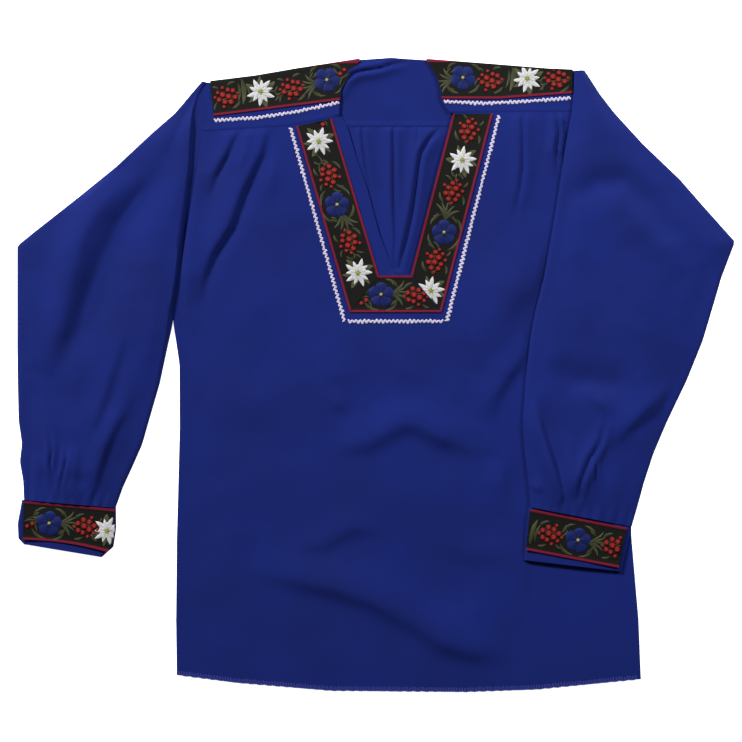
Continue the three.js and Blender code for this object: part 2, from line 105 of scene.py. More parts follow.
# Back panel: the wide lower back, of plain-weave cotton. It is gathered into three soft
# pleats where it is sewn under the back yoke, which show through the neck slit. It lies
# flat on the table.
WALL = 1.2               # a panel with its turned seams
BACK_MID = 0.75          # the middle of the layer on the table
LAYER = 1.8              # from one layer's middle to the next
BODY_SIDES = {
    "y": [-368, -293, -194, -64, 12, 64, 352, 380],
    "left": [-239, -240, -239, -235.5, -236, -243.5, -199, -195],
    "right": [317.5, 314.5, 306, 304.5, 303, 300, 241, 235],
}
SHOULDER_LINE = {
    "x": [-210, -145, -96, -22, 18, 60, 137, 205, 250],
    "y": [349.5, 357.5, 366, 377.5, 380, 377.5, 371.5, 366, 364],
}
HEM = {
    "x": [-240, -167, -54, 107, 192, 318],
    "y": [-359.5, -369, -378.5, -380, -377, -364.5],
}
BACK_SEAM_Y = 297
SLIT_FOOT = 120.5
SEAM_GAP = 0.15          # from a side or armhole to each of the pieces that meet there
SEAM_HAIR = 0.02         # from a panel's top to the yoke above it


def read(table, key, at, column):
    return np.interp(at, table[key], table[column])


def ramp(value, start, end):
    """0 at start, 1 at end, and smooth between."""
    t = np.clip((value - start) / (end - start), 0, 1)
    return t * t * (3 - 2 * t)


def waver(x, y, size, rise, seed):
    """The uneven lie of cloth: soft swells of about the given size."""
    flat = zip(x.ravel() / size, y.ravel() / size)
    heights = [noise.noise(Vector((u, v, seed))) for u, v in flat]
    return rise * np.array(heights).reshape(x.shape)


def running(lengths):
    """The distance from the start at each end of a row of lengths."""
    return np.concatenate([[0], np.cumsum(lengths)])


def folds(x, y, table):
    """The height of a table of folds. Each row gives the points of a path, as
    x, y and the rise there, and the widths over which the fold falls away on its left and
    on its right, so that a crease can be steep on one side. One with a groove's width too
    is pinched to nothing along its path, and stands up on both sides."""
    total = np.zeros_like(x)
    for points, left, right, *pinch in table:
        points = np.array(points, float)
        path = points[:, :2]
        steps = np.diff(path, axis=0)
        lengths = np.linalg.norm(steps, axis=1)
        starts = running(lengths)
        best = np.full(x.shape, 1e9)
        side = np.zeros_like(x)
        place = np.zeros_like(x)
        for (x0, y0), (dx, dy), length, start in zip(path[:-1], steps, lengths, starts):
            t = np.clip(((x - x0) * dx + (y - y0) * dy) / length**2, 0, 1)
            away_x, away_y = x - x0 - t * dx, y - y0 - t * dy
            away = np.hypot(away_x, away_y)
            nearer = away < best
            best = np.where(nearer, away, best)
            side = np.where(nearer, np.sign(dx * away_y - dy * away_x), side)
            place = np.where(nearer, start + t * length, place)
        width = np.where(side > 0, left, right)
        rise = np.interp(place, starts, points[:, 2])
        shape = np.exp(-((best / width) ** 2))
        for groove in pinch:
            ratio = width / groove
            crest = np.log(ratio**2) / (ratio**2 - 1)
            peak = np.exp(-crest) - np.exp(-crest * ratio**2)
            shape = (shape - np.exp(-((best / groove) ** 2))) / peak
        total += rise * shape
    return total


def unit(vectors):
    return vectors / np.maximum(np.linalg.norm(vectors, axis=1, keepdims=True), 1e-12)


def stacked(*values):
    return np.stack(values, axis=-1)


def left_of(ways):
    return stacked(-ways[:, 1], ways[:, 0])


def mesh_piece(name, points, faces, places, sharp):
    """A smooth piece of points in metres, with a UV map that gives each its place, and with
    hard edges where it turns by more than the sharp angle, in degrees."""
    mesh = bpy.data.meshes.new(name)
    mesh.from_pydata(points.tolist(), [], faces)
    corners = np.empty(len(mesh.loops), np.int32)
    mesh.loops.foreach_get("vertex_index", corners)
    mesh.uv_layers.new(name="UVMap").data.foreach_set("uv", places[corners].ravel())
    mesh.shade_smooth()
    mesh.set_sharp_from_angle(angle=math.radians(sharp))
    piece = bpy.data.objects.new(name, mesh)
    bpy.context.scene.collection.objects.link(piece)
    return piece


def cloth_shell(name, points, wall=WALL, keep=None, place=None):
    """A closed wall of cloth on a grid of middle points in millimetres, with a UV map
    that gives the place on the cloth in metres, worked out from the grid or given."""
    rows, columns = points.shape[:2]
    index = np.arange(rows * columns).reshape(rows, columns)
    quads = stacked(index[:-1, :-1], index[1:, :-1], index[1:, 1:], index[:-1, 1:])
    quads = quads.reshape(-1, 4) if keep is None else quads[keep]
    flat = points.reshape(-1, 3) * MM
    across = flat[quads[:, 2]] - flat[quads[:, 0]]
    down = flat[quads[:, 3]] - flat[quads[:, 1]]
    normal = unit(np.cross(across, down))
    vertex_normal = np.zeros_like(flat)
    for corner in range(4):
        np.add.at(vertex_normal, quads[:, corner], normal)
    vertex_normal = unit(vertex_normal)
    half = wall / 2 * MM
    outer = flat + vertex_normal * half
    inner = flat - vertex_normal * half
    count = len(flat)
    starts = quads.ravel()
    ends = np.roll(quads, -1, axis=1).ravel()
    there = set(zip(starts.tolist(), ends.tolist()))
    rim = np.array([(a, b) for a, b in there if (b, a) not in there])
    rim = rim[np.lexsort((rim[:, 1], rim[:, 0]))]
    rim_quads = stacked(rim[:, 1], rim[:, 0], rim[:, 0] + count, rim[:, 1] + count)
    faces = np.concatenate([quads, quads[:, ::-1] + count, rim_quads])
    if place is None:
        widths = np.linalg.norm(np.diff(points, axis=1), axis=2).mean(axis=0)
        lengths = np.linalg.norm(np.diff(points, axis=0), axis=2).mean(axis=1)
        place = stacked(*np.meshgrid(running(widths), running(lengths))) * MM
    place = np.concatenate([place.reshape(-1, 2)] * 2)
    used = np.unique(faces)
    fresh = np.full(2 * count, -1)
    fresh[used] = np.arange(len(used))
    points = np.concatenate([outer, inner])[used]
    return mesh_piece(name, points, fresh[faces].tolist(), place[used], sharp=50)


SETTLING = 6             # rounds after which the edges hardly move


def panel_points(v, u, top, foot, edges):
    """The plan of a piece between a top and a foot line, at shares v down and u across."""
    v, u = np.meshgrid(v, u, indexing="ij")
    x = np.zeros_like(v)
    for _ in range(SETTLING):
        y = top(x) * (1 - v) + foot(x) * v
        left, right = edges(y)
        x = left * (1 - u) + right * u
    return x, y


def shoulder_y(x):
    return read(SHOULDER_LINE, "x", x, "y")


def hem_y(x):
    # The turned edge is a little scalloped by its overlock.
    return read(HEM, "x", x, "y") + 0.5 * np.sin(2 * np.pi * x / 10.5) * np.sin(2 * np.pi * x / 173)


def body_edges(y):
    return read(BODY_SIDES, "y", y, "left") + SEAM_GAP, read(BODY_SIDES, "y", y, "right") - SEAM_GAP


def new_group(name, inputs, outputs):
    """An empty shader node group with the named sockets, and its two end nodes."""
    group = bpy.data.node_groups.new(name, "ShaderNodeTree")
    for in_out, sockets in (("INPUT", inputs), ("OUTPUT", outputs)):
        for socket, kind in sockets:
            group.interface.new_socket(socket, in_out=in_out, socket_type=f"NodeSocket{kind}")
    return group, group.nodes.new("NodeGroupInput").outputs, group.nodes.new("NodeGroupOutput").inputs


def fill(tree, sockets, values):
    """Links each socket to its value, or sets it where the value is plain."""
    for socket, value in zip(sockets, values):
        if isinstance(value, bpy.types.NodeSocket):
            tree.links.new(value, socket)
        elif value is not None:
            socket.default_value = value


def math_node(tree, operation, first, second=None):
    node = tree.nodes.new("ShaderNodeMath")
    node.operation = operation
    fill(tree, node.inputs, (first, second))
    return node.outputs[0]


def colour_mix(tree, factor, first, second, blend="MIX"):
    node = tree.nodes.new("ShaderNodeMix")
    node.data_type = "RGBA"
    node.blend_type = blend
    fill(tree, [node.inputs[name] for name in ("Factor", "A", "B")], (factor, first, second))
    return node.outputs["Result"]


def map_range(tree, value, low, high, to_low=0.0, to_high=1.0):
    node = tree.nodes.new("ShaderNodeMapRange")
    tree.links.new(value, node.inputs["Value"])
    set_inputs(node, {"From Min": low, "From Max": high, "To Min": to_low, "To Max": to_high})
    return node.outputs["Result"]


def split_place(tree, place):
    split = tree.nodes.new("ShaderNodeSeparateXYZ")
    tree.links.new(place, split.inputs[0])
    return split.outputs["X"], split.outputs["Y"]


def weave_group():
    """Plain weave: warp and weft threads that pass over and under each other. It puts out
    the threads' height and a mask of the gaps between them."""
    group, source, result = new_group(
        "plain_weave", [("Place", "Vector"), ("Threads per metre", "Float")],
        [("Height", "Float"), ("Gaps", "Float")],
    )
    turns = math_node(group, "MULTIPLY", source["Threads per metre"], math.pi)
    warp, weft = [
        math_node(group, "SINE", math_node(group, "MULTIPLY", across, turns))
        for across in split_place(group, source["Place"])
    ]
    over = math_node(group, "GREATER_THAN", math_node(group, "MULTIPLY", warp, weft), 0)
    warp_top = math_node(group, "MULTIPLY", math_node(group, "ABSOLUTE", warp), over)
    under = math_node(group, "SUBTRACT", 1, over)
    weft_top = math_node(group, "MULTIPLY", math_node(group, "ABSOLUTE", weft), under)
    height = math_node(group, "ADD", warp_top, weft_top)
    group.links.new(height, result["Height"])
    group.links.new(math_node(group, "LESS_THAN", height, 0.3), result["Gaps"])
    return group


def dye_group():
    """A dye that took a little unevenly, in soft patches a hand or two wide."""
    group, source, result = new_group(
        "uneven_dye", [("Place", "Vector"), ("Pale", "Color"), ("Deep", "Color")],
        [("Colour", "Color"), ("Patches", "Float")],
    )
    patches = group.nodes.new("ShaderNodeTexNoise")
    set_inputs(patches, {"Scale": 9, "Detail": 3})
    group.links.new(source["Place"], patches.inputs["Vector"])
    spread = map_range(group, patches.outputs["Fac"], 0.3, 0.65)
    group.links.new(colour_mix(group, spread, source["Deep"], source["Pale"]), result["Colour"])
    group.links.new(patches.outputs["Fac"], result["Patches"])
    return group


WEAVE = weave_group()
DYE = dye_group()
THREAD_HEIGHT = 0.1 * MM
# painted shade: the tint that darkens the weave's gaps between its threads
GAP_SHADE = (0.55, 0.55, 0.6, 1)


def effect(tree, group, place, values):
    """A use of a node group at a place on the cloth, with its other inputs set."""
    node = tree.nodes.new("ShaderNodeGroup")
    node.node_tree = group
    set_inputs(node, values)
    tree.links.new(place, node.inputs["Place"])
    return node.outputs


def add_relief(tree, shader, height, strength, distance):
    relief = tree.nodes.new("ShaderNodeBump")
    set_inputs(relief, {"Strength": strength, "Distance": distance})
    tree.links.new(height, relief.inputs["Height"])
    tree.links.new(relief.outputs["Normal"], shader.inputs["Normal"])


def woven_material(name, colour, shade, threads, roughness, sheen, bump):
    """Dyed cotton: the weave, with painted shade in the gaps between its threads, the uneven dye, and a
    matt nap.
    """
    material, tree, shader = new_material(name, {
        "Sheen Weight": sheen, "Sheen Roughness": 0.5, "Sheen Tint": (0.35, 0.45, 1, 1),
        "Specular IOR Level": 0.1,
    })
    on_cloth = tree.nodes.new("ShaderNodeUVMap").outputs["UV"]
    weave = effect(tree, WEAVE, on_cloth, {"Threads per metre": threads})
    where = tree.nodes.new("ShaderNodeTexCoord").outputs["Object"]
    dye = effect(tree, DYE, where, {"Pale": (*colour, 1), "Deep": (*shade, 1)})
    # painted shade: the gaps between the threads are darkened
    shaded_gaps = colour_mix(tree, weave["Gaps"], dye["Colour"], GAP_SHADE, "MULTIPLY")
    tree.links.new(shaded_gaps, shader.inputs["Base Color"])
    nap = map_range(tree, dye["Patches"], 0, 1, roughness - 0.08, roughness + 0.08)
    tree.links.new(nap, shader.inputs["Roughness"])
    add_relief(tree, shader, weave["Height"], bump, THREAD_HEIGHT)
    return material


COTTON = woven_material(
    "cobalt_cotton", colour=(0.0038, 0.0110, 0.112), shade=(0.0032, 0.0092, 0.092),
    threads=1900, roughness=0.85, sheen=0.03, bump=0.35,
)


def finish_cloth(piece, node):
    piece.data.materials.append(COTTON)
    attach(piece, "root")
    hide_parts(node)


BACK_PLEATS = [
    ([(74, 293, 1.4), (63, 281, 3.4), (54, 266, 4.4), (50.5, 248, 4.6), (47.5, 222, 4.6), (44, 198, 4.4),
      (38, 168, 3.6), (28, 128, 1.6)], 15, 12, 3.4),
    ([(21, 296, 2.6), (21, 249, 3.4), (21.5, 205, 3.2), (23.5, 166, 2.6), (22.6, 127, 0.8)], 11, 11, 3),
    ([(-17, 296, 1.6), (-15, 272, 2.4), (-10.7, 246, 1.6), (-5, 222, 0)], 9, 9, 2.8),
    ([(50, 296, 1.4), (50, 284, 1.4), (48, 270, 0)], 6, 6, 2.2),
]
x, y = panel_points(
    np.concatenate([np.linspace(0, 0.28, 84), np.linspace(0.29, 1, 40)]),
    np.concatenate([np.linspace(0, 0.34, 14), np.linspace(0.36, 0.62, 112), np.linspace(0.64, 1, 16)]),
    top=lambda x: BACK_SEAM_Y - SEAM_HAIR + 0 * x, foot=hem_y, edges=body_edges,
)
z = BACK_MID + folds(x, y, BACK_PLEATS) * ramp(x, -34, -20) * ramp(x, 96, 84) * ramp(BACK_SEAM_Y - y, -3, 5)
back_panel = cloth_shell("back_panel", stacked(x, y, z))
finish_cloth(back_panel, "back_panel")

# Back yoke: a plain piece across the shoulders, sewn to the back panel below and to the
# front yokes along the shoulders. Its neck edge is turned in and curls a little.
YOKE_ROWS = np.concatenate([np.linspace(0, 0.9, 34), [0.93, 0.955, 0.975, 0.99, 1]])


def seam_swell(above):
    """The seam allowance turned up under a yoke, at a distance above its seam."""
    return 0.55 * (ramp(above, 8, 3) - ramp(above, 1.4, 0))


x, y = panel_points(
    YOKE_ROWS, np.linspace(0, 1, 150), top=shoulder_y, foot=lambda x: BACK_SEAM_Y + 0 * x, edges=body_edges,
)
NECK_ROLL = [
    ([(-45, 340, 2.4), (-35.6, 355.2, 3.2), (-23.4, 362.5, 3.4), (-11, 364.8, 3.2), (5.4, 367.3, 3),
      (17.8, 371.5, 2.4), (37, 375, 0.6)], 9, 9, 3),
    ([(8, 340, 0), (20, 322, 1), (22, 306, 0)], 12, 12),
]
z = BACK_MID + folds(x, y, NECK_ROLL) * ramp(x, -48, -36) * ramp(x, 80, 66)
z += seam_swell(y - BACK_SEAM_Y)
back_yoke = cloth_shell("back_yoke", stacked(x, y, z))
finish_cloth(back_yoke, "back_yoke")

# Front panel: the wide lower front, pleated into the front yokes, with the neck slit cut
# down its middle. It lies on the back panel in the soft creases of a shirt that has been
# spread out by hand.
FRONT_MID = BACK_MID + LAYER
FRONT_PUFF = 1.5         # how far the front stands off the back
SLIT_SINK = 1.3          # how far its edge lies down at the left of the slit
FRONT_SEAM = {"x": [-205, -103, -44, 79, 250], "y": [291.5, 298, 309.5, 313.5, 315.5]}
SLIT = {
    "y": [SLIT_FOOT, 169, 224, 261, 298, 316],
    "left": [22.5, 3.5, -11, -24, -35, -44.5],
    "right": [41.6, 54.5, 69, 78.8, 88.5, 93.2],
}
RIGHT_FOLD = {
    "y": [-158, -118, -55, -7, 40, 80, 117, 159, 203, 234, 276, 313, 336, 361],
    "x": [184.5, 181, 175.5, 179, 184, 191.5, 201, 208.5, 216, 220.5, 227, 234, 237.2, 240.2],
}
FRONT_FOLDS = [
    # pleats below the left yoke, and the long crease that runs down to the armhole
    ([(-171, 290, 1.4), (-184, 262, 3.4), (-196, 240, 2.6), (-203, 212, 0)], 4, 12),
    ([(-165, 290, -0.8), (-179, 260, -1.6), (-191, 238, -1.4), (-198, 212, 0)], 4, 2),
    ([(-135, 290, 1), (-141, 266, 2.8), (-163, 220, 4.4), (-177, 180, 4.6), (-199, 145, 4.4),
      (-209, 118, 3.4), (-215, 84, 0)], 4.2, 22),
    ([(-128, 288, -0.6), (-133, 265, -1.6), (-155, 218, -2), (-169, 178, -2), (-191, 143, -1.8),
      (-202, 116, -1.2), (-208, 90, 0)], 9, 3),
    ([(-118, 282, 0), (-124, 240, 1.2), (-140, 190, 0)], 8, 5),
    ([(-150, 292, 0.8), (-158, 262, 1.2), (-168, 240, 0)], 3, 6),
    # the swell beside the left armhole
    ([(-206, 270, 0.4), (-220, 200, 2.2), (-226, 120, 2.2), (-226, 40, 0)], 12, 6),
    # pleats below the right yoke
    ([(175.8, 312, 2.2), (175.8, 247, 3.2), (172, 218, 2.4), (165, 184, 0)], 13, 14, 3.2),
    ([(216, 312, 2.6), (219, 289, 4.6), (216, 268, 5), (219, 238, 0.5)], 5, 10, 4),
    ([(196, 312, 0.8), (195, 280, 1), (189, 240, 0)], 6, 6),
    ([(232, 309, 0), (224, 307, 2), (216, 303, 0)], 3, 3, 1.8),
    # the slack pushed up beside the right sleeve
    ([(186, 196, 0), (174, 150, 3.4), (160, 108, 5), (150, 70, 4.6), (142, 36, 3), (136, 0, 0)], 24, 40),
    ([(150, 230, 0), (140, 190, 1.6), (126, 150, 0)], 16, 16),
    ([(144, 72, 0), (168, 98, 3), (194, 120, 3.6)], 28, 17),
    ([(176, 24, 3.2), (157, 2, 5), (141, -24, 3.8), (130, -56, 0)], 8, 19),
    ([(152, -90, 0), (150, -130, 2.6), (152, -170, 0)], 7, 20),
    # below the slit
    ([(-76, 40, 0), (-52, 0, 1.8), (-58, -48, 0)], 22, 16),
    ([(-56, -88, 0), (-9, -79, 4.6), (31, -56, 5.4), (48, -58, 5.4), (81, -74, 5.8),
      (122, -88, 1.4)], 27, 12),
    ([(-58, -16, 0), (-46, -34, 2), (-32, -44, 0)], 12, 8),
    ([(4, 40, 0), (30, 6, 1.6), (84, 0, 0)], 18, 14),
    # across the belly and down to the hem
    ([(-150, -232, 0), (-93, -244, 4.2), (-46, -255, 4.8), (0, -270, 4.8), (46, -296, 4.6),
      (85, -321, 4.8), (116, -330, 4.2), (160, -334, 0)], 30, 12),
    ([(-112, -204, 0), (-62, -200, 2.6), (-30, -182, 3), (24, -184, 0)], 20, 10),
    ([(60, -196, 0), (120, -214, 2), (176, -206, 0)], 24, 14),
    ([(-190, -120, 0), (-176, -190, 2), (-182, -280, 0)], 22, 16),
    ([(230, -262, 0), (210, -310, 2.2), (214, -356, 0)], 18, 14),
    ([(-200, -20, 0), (-150, -36, 1.6), (-92, -20, 0)], 20, 20),
]


def front_seam_y(x):
    return read(FRONT_SEAM, "x", x, "y")


def front_z(x, y):
    """The middle of the front, which the yokes, ribbons and braid follow too."""
    sleeve_fold = read(RIGHT_FOLD, "y", y, "x")
    sides = ramp(x, -238, -150) * ramp(x, sleeve_fold - 3, sleeve_fold - 60)
    ends = ramp(shoulder_y(x) - y, 3, 66) * ramp(y - hem_y(x), 4, 58)
    z = FRONT_MID + FRONT_PUFF * sides * ends
    beside_slit = (y > SLIT_FOOT) * (y < 311) * (x < 35)
    z = z - SLIT_SINK * (1 - ramp(read(SLIT, "y", y, "left") - x, 0, 11)) * beside_slit
    clear = ramp(x, -242, -226) * ramp(x, sleeve_fold + 1, sleeve_fold - 9)
    clear *= ramp(front_seam_y(x) - y, -1, 8) * ramp(y - hem_y(x), 3, 34)
    z += folds(x, y, FRONT_FOLDS) * clear
    z += (waver(x, y, 95, 2.2, 3.1) + waver(x, y, 34, 0.6, 7.7)) * clear * ends
    above = y - front_seam_y(x)
    return z + np.where(above >= 0, 0.7 * seam_swell(above), 0)


# The panel's grid. Its rows run from a nominal top to a nominal foot, and its columns have
# shares from 0 to 1 on the slit's left, to 2 across the slit, and to 3 on its right.
TOP_ROW, FOOT_ROW = 313, -376
slit_row = 68
above_foot = np.linspace(TOP_ROW - 1.6, SLIT_FOOT, slit_row - 1)
below_foot = np.linspace(SLIT_FOOT, FOOT_ROW, 128)[1:]
nominal = np.concatenate([[TOP_ROW, TOP_ROW - 0.7], above_foot, below_foot])
slit_columns = (76, 81)
share = np.concatenate([
    np.linspace(0, 1, slit_columns[0] + 1),
    1 + np.linspace(0, 1, slit_columns[1] - slit_columns[0] + 1)[1:],
    2 + np.linspace(0, 1, 79)[1:],
])
nominal, share = np.meshgrid(nominal, share, indexing="ij")
x = np.zeros_like(nominal)
for _ in range(SETTLING):
    y = nominal + (front_seam_y(x) - SEAM_HAIR - TOP_ROW) * ramp(nominal, 205, TOP_ROW)
    y = y + (hem_y(x) - FOOT_ROW) * ramp(nominal, -292, FOOT_ROW)
    left, right = body_edges(y)
    widening = 12 * ramp(y, SLIT_FOOT, -300)
    slit_left = read(SLIT, "y", y, "left") - widening
    slit_right = read(SLIT, "y", y, "right") + widening
    x = np.select([share <= 1, share < 2], [
        left + (slit_left - left) * share, slit_left + (slit_right - slit_left) * (share - 1),
    ], slit_right + (right - slit_right) * (share - 2))
keep = np.ones((nominal.shape[0] - 1, nominal.shape[1] - 1), bool)
keep[:slit_row, slit_columns[0]:slit_columns[1]] = False
front_panel = cloth_shell("front_panel", stacked(x, y, front_z(x, y)), keep=keep)
finish_cloth(front_panel, "front_panel")

# Front yokes: a plain piece on each side of the neck, sewn to the back yoke along the
# shoulder and to the pleated front panel below.
NECK = {
    "y": [305, 316, 327, 342, 359, 380],
    "left": [-44.5, -44.3, -43.5, -41.5, -31.5, -17],
    "right": [90, 87, 78.5, 76.5, 71.5, 58],
}
for name, edges in [
    ("front_yoke_left", lambda y: (body_edges(y)[0], read(NECK, "y", y, "left"))),
    ("front_yoke_right", lambda y: (read(NECK, "y", y, "right"), body_edges(y)[1])),
]:
    x, y = panel_points(YOKE_ROWS, np.linspace(0, 1, 60), top=shoulder_y, foot=front_seam_y, edges=edges)
    yoke = cloth_shell(name, stacked(x, y, front_z(x, y)))
    finish_cloth(yoke, name)

# Sleeves: each one piece of cotton, set into the armhole, sewn to itself along the
# underarm and gathered into its cuff. The left one lies beside the body and stands up
# along its inner fold. The right one lies across the side of the body.
TUBE_OPEN = 3.0          # between the middles of a sleeve's two layers
CUFF_OPEN = 1.7          # and of a cuff's, the least that a sleeve's are pressed to
CUFF_PRESS = 0.45        # the share of its puff that a sleeve loses at the cuff
LEFT_SLEEVE = {
    "outer_x": [-208.4, -223.5, -241.5, -270, -313, -355.5, -409, -430, -430, -430, -430, -429.5, -428.5,
                -424.5, -427, -423, -422],
    "outer_y": [351.2, 334, 313, 288, 248, 213.5, 171.5, 154.5, 112, 66, 34, -10, -55, -82, -104,
                -127, -149.8],
    "inner_x": [-205, -216, -221.5, -223, -225, -229.5, -235, -237, -242, -249.5, -256.5, -266, -279,
                -287, -298, -309, -318],
    "inner_y": [350.8, 334, 313, 288, 248, 213.5, 171.5, 154.5, 112, 66, 34, -10, -55, -83, -108,
                -134, -158.8],
    "seam_x": [-199.1, -201.6, -204.9, -208.7, -214.9, -220.2, -226.7, -229.3, -235.9, -243.3, -250.6,
               -260, -273, -281, -292, -304, -313],
}
RIGHT_SLEEVE = {
    "outer_x": [249.6, 268, 286, 320, 364, 391, 430, 414, 403, 398, 391, 372, 349, 332, 320, 313, 305.6],
    "outer_y": [364.6, 336, 313, 276, 234, 203, 159.5, 117.5, 80, 63, 40, -7, -55, -94, -130, -156, -181.4],
    "inner_x": [237.6, 236.2, 234, 227, 220.5, 216, 208.5, 201, 191.5, 188, 184, 179, 175.5, 177.5, 181,
                183.5, 184.5],
    "inner_y": [363.8, 336, 313, 276, 234, 203, 159.5, 117.5, 80, 63, 40, -7, -55, -88, -118, -140, -158.2],
    "seam_x": [243.6, 245.2, 249.4, 257, 265.6, 272, 281, 289.4, 297.4, 302.5, 303, 294, 280, 268, 256,
               250, 246],
}
SLEEVE_ROWS = 118
FOLD_REACH = 2.2         # how far in a fold's half circle begins
LAP = 0.3                # of the last layer over the first, at the seam
# The left sleeve's inner edge goes down to the table in a quarter turn, but in a steep
# step where it meets the body: shares of the way to the seam, and of the fall.
TURN = np.array([0.22, 0.45, 0.66, 0.84, 0.95, 1])
STEP = np.array([0.05, 0.1, 0.16, 0.26, 0.6, 1])
STEP_FALL = np.array([0.9, 0.6, 0.25, 0.04, 0, 0])


def bend(start, stop, low, high):
    """Distances and heights round a fold's half circle, from one layer to the other."""
    turn = np.linspace(0, math.pi, 8)
    return stop + (start - stop) * np.abs(np.cos(turn)), low + (high - low) * (1 - np.cos(turn)) / 2


def wrapped_points(table, under, upper, last, tucked, rows=SLEEVE_ROWS):
    """A sleeve or cuff as one wrapped piece: from its seam, under, round the outer edge,
    back over the top to the inner fold, and on to the seam again."""
    names = ("outer_x", "outer_y", "inner_x", "inner_y", "seam_x")
    known = np.arange(len(table["outer_x"]))
    lengths = np.hypot(np.diff(table["outer_x"]), np.diff(table["outer_y"]))
    lengths = lengths + np.hypot(np.diff(table["inner_x"]), np.diff(table["inner_y"]))
    travelled = running(lengths)
    at = np.interp(np.linspace(0, travelled[-1], rows), travelled, known)
    grid = []
    for outer_x, outer_y, inner_x, inner_y, seam_x in zip(*(np.interp(at, known, table[n]) for n in names)):
        outer = np.array([outer_x, outer_y])
        along = np.array([inner_x, inner_y]) - outer
        chord = np.linalg.norm(along)
        along = along / chord
        seam = (seam_x - outer_x) / along[0]

        def heights(layer, distance):
            distance = np.asarray(distance, float)
            px, py = outer[0] + along[0] * distance, outer[1] + along[1] * distance
            return layer(px, py, distance / chord, chord)

        reach = min(FOLD_REACH, chord / 6)
        below = np.linspace(seam - (LAP if tucked else 0), reach, 26)
        above = np.linspace(reach, chord - (reach if tucked else 0), 56)
        distances, levels = [below], [heights(under, below)]

        def turn_over(start, stop, onwards, level):
            """The fold, and what lies beyond it."""
            around, rise = bend(start, stop, levels[-1][-1], level[0])
            distances.extend([around[1:-1], onwards])
            levels.extend([rise[1:-1], level])

        turn_over(reach, 0, above, heights(upper, above))
        if tucked:
            home = np.linspace(chord - reach, seam, 14)
            turn_over(chord - reach, chord, home, heights(last, home))
        else:
            by_body = float(ramp(inner_y, 40, 84))
            home = chord + (seam - chord) * (TURN + (STEP - TURN) * by_body)
            fall = np.sqrt(1 - TURN**2)
            fall = fall + (STEP_FALL - fall) * by_body
            top = levels[-1][-1]
            foot = BACK_MID + (heights(last, home) - BACK_MID) * by_body
            distances.append(home)
            levels.append(foot + (top - foot) * fall)
        distance = np.concatenate(distances)
        plan = outer + distance[:, None] * along
        grid.append(np.column_stack([plan, np.concatenate(levels)]))
    return np.array(grid)


LEFT_SLEEVE_FOLDS = [
    # the long slack from the shoulder to the elbow, and the hollow beside it
    ([(-296, 240, 0), (-324, 213, 4.2), (-352, 169, 6.4), (-366, 114, 6.6), (-380, 54, 5.4),
      (-398, 0, 0)], 14, 24),
    ([(-258, 252, 0), (-280, 216, -4.6), (-308, 178, -5.8), (-326, 139, -6), (-338, 99, -5.8),
      (-354, 54, -4.8), (-382, 2, 0)], 24, 13),
    ([(-262, 190, 0), (-272, 130, 2.2), (-290, 70, 0)], 18, 20),
    ([(-302, 56, 0), (-316, 6, 3), (-331, -40, 3.2), (-347, -80, 0)], 6, 16),
    ([(-290, 20, 0), (-300, -30, 2.2), (-318, -84, 0)], 10, 12),
    ([(-400, 0, 0), (-396, -60, 2), (-404, -120, 0)], 14, 14),
    # creases that run up from the gathers of the cuff
    ([(-392, -60, 0), (-388, -90, 2.6), (-389.6, -110, 3.2), (-384, -136, 0.6)], 5, 7, 3.1),
    ([(-370, -84, 0), (-371, -102, 2.4), (-374, -118, 2.6), (-379, -138, 0.6)], 6, 4, 2.9),
    ([(-297, -34, 0), (-312, -58, 3.4), (-325, -86, 4.4), (-334, -114, 4.4), (-338, -136, 1.6)], 5, 15),
    ([(-374, -121, 0), (-352, -127, -1.7), (-337, -124, 0)], 8, 6),
    ([(-358, -82, 0), (-361, -112, 2.8), (-364, -142, 1.4)], 6, 6),
    ([(-404, -90, 0), (-407, -120, 2), (-406, -148, 1.2)], 6, 6),
]
RIGHT_SLEEVE_FOLDS = [
    ([(246, 300, 0), (246, 230, 2), (238, 150, 2.2), (228, 90, 0)], 16, 14),
    ([(222, 192, 0), (240, 214, -3.4), (266, 228, -5.4), (298, 230, -5.8), (325, 205, -5.6),
      (349, 172, -4.8), (388, 136, 0)], 17, 16),
    ([(296, 192, 0), (318, 184, 3), (344, 152, 2.8), (366, 116, 0)], 16, 20),
    ([(330, 276, 0), (366, 232, 2.2), (402, 184, 0)], 8, 10),
    ([(238, 150, 0), (262, 110, -2.6), (276, 60, 0)], 16, 18),
    ([(208, 60, 0), (214, 20, 2.2), (222, -20, 0)], 12, 14),
    ([(206, 12, 0), (240, -5, -3.8), (280, -11, -4.2), (308, 2, 0)], 17, 15),
    ([(352, -10, 0), (332, -31, 4.8), (306, -55, 5.4), (276, -84, 0)], 7, 19),
    ([(244, -14, 0), (268, -32, 2.8), (286, -50, 0)], 9, 8),
    # creases that run up from the gathers of the cuff
    ([(188, -28, 0), (196, -66, 5), (209, -108, 6), (219, -144, 3.4)], 4.5, 12),
    ([(192, -28, 0), (202, -66, -2.8), (216, -109, -3.6), (226, -146, -2)], 12, 3),
    ([(275, -50, 0), (268, -80, 3), (254, -103, 4.2), (244, -128, 3.6), (242, -150, 1)], 7, 10, 4.2),
    ([(262, -92, 0), (261, -118, 2.8), (265, -142, 0)], 5, 5, 2.5),
    ([(186, -124, 0), (192, -132, 3), (204, -131, 0)], 4, 4, 2.9),
    ([(230, -70, 0), (231, -104, 2.6), (229, -142, 1.4)], 7, 6),
    ([(284, -90, 0), (284, -124, 1.4), (281, -156, 0.8)], 12, 11),
]


def puff(t, chord, high=3.6):
    return high * np.sin(np.pi * np.clip(t, 0, 1)) * ramp(chord, 5, 60)


def gathers(t, away, count, seed):
    """The small uneven pleats where a sleeve is sewn to its cuff."""
    wave = np.sin(2 * np.pi * (count * t + 0.35 * np.sin(5 * t + seed)))
    return 0.5 * wave * ramp(away, 20, 2) * ramp(t, 0, 0.08) * ramp(t, 1, 0.92)


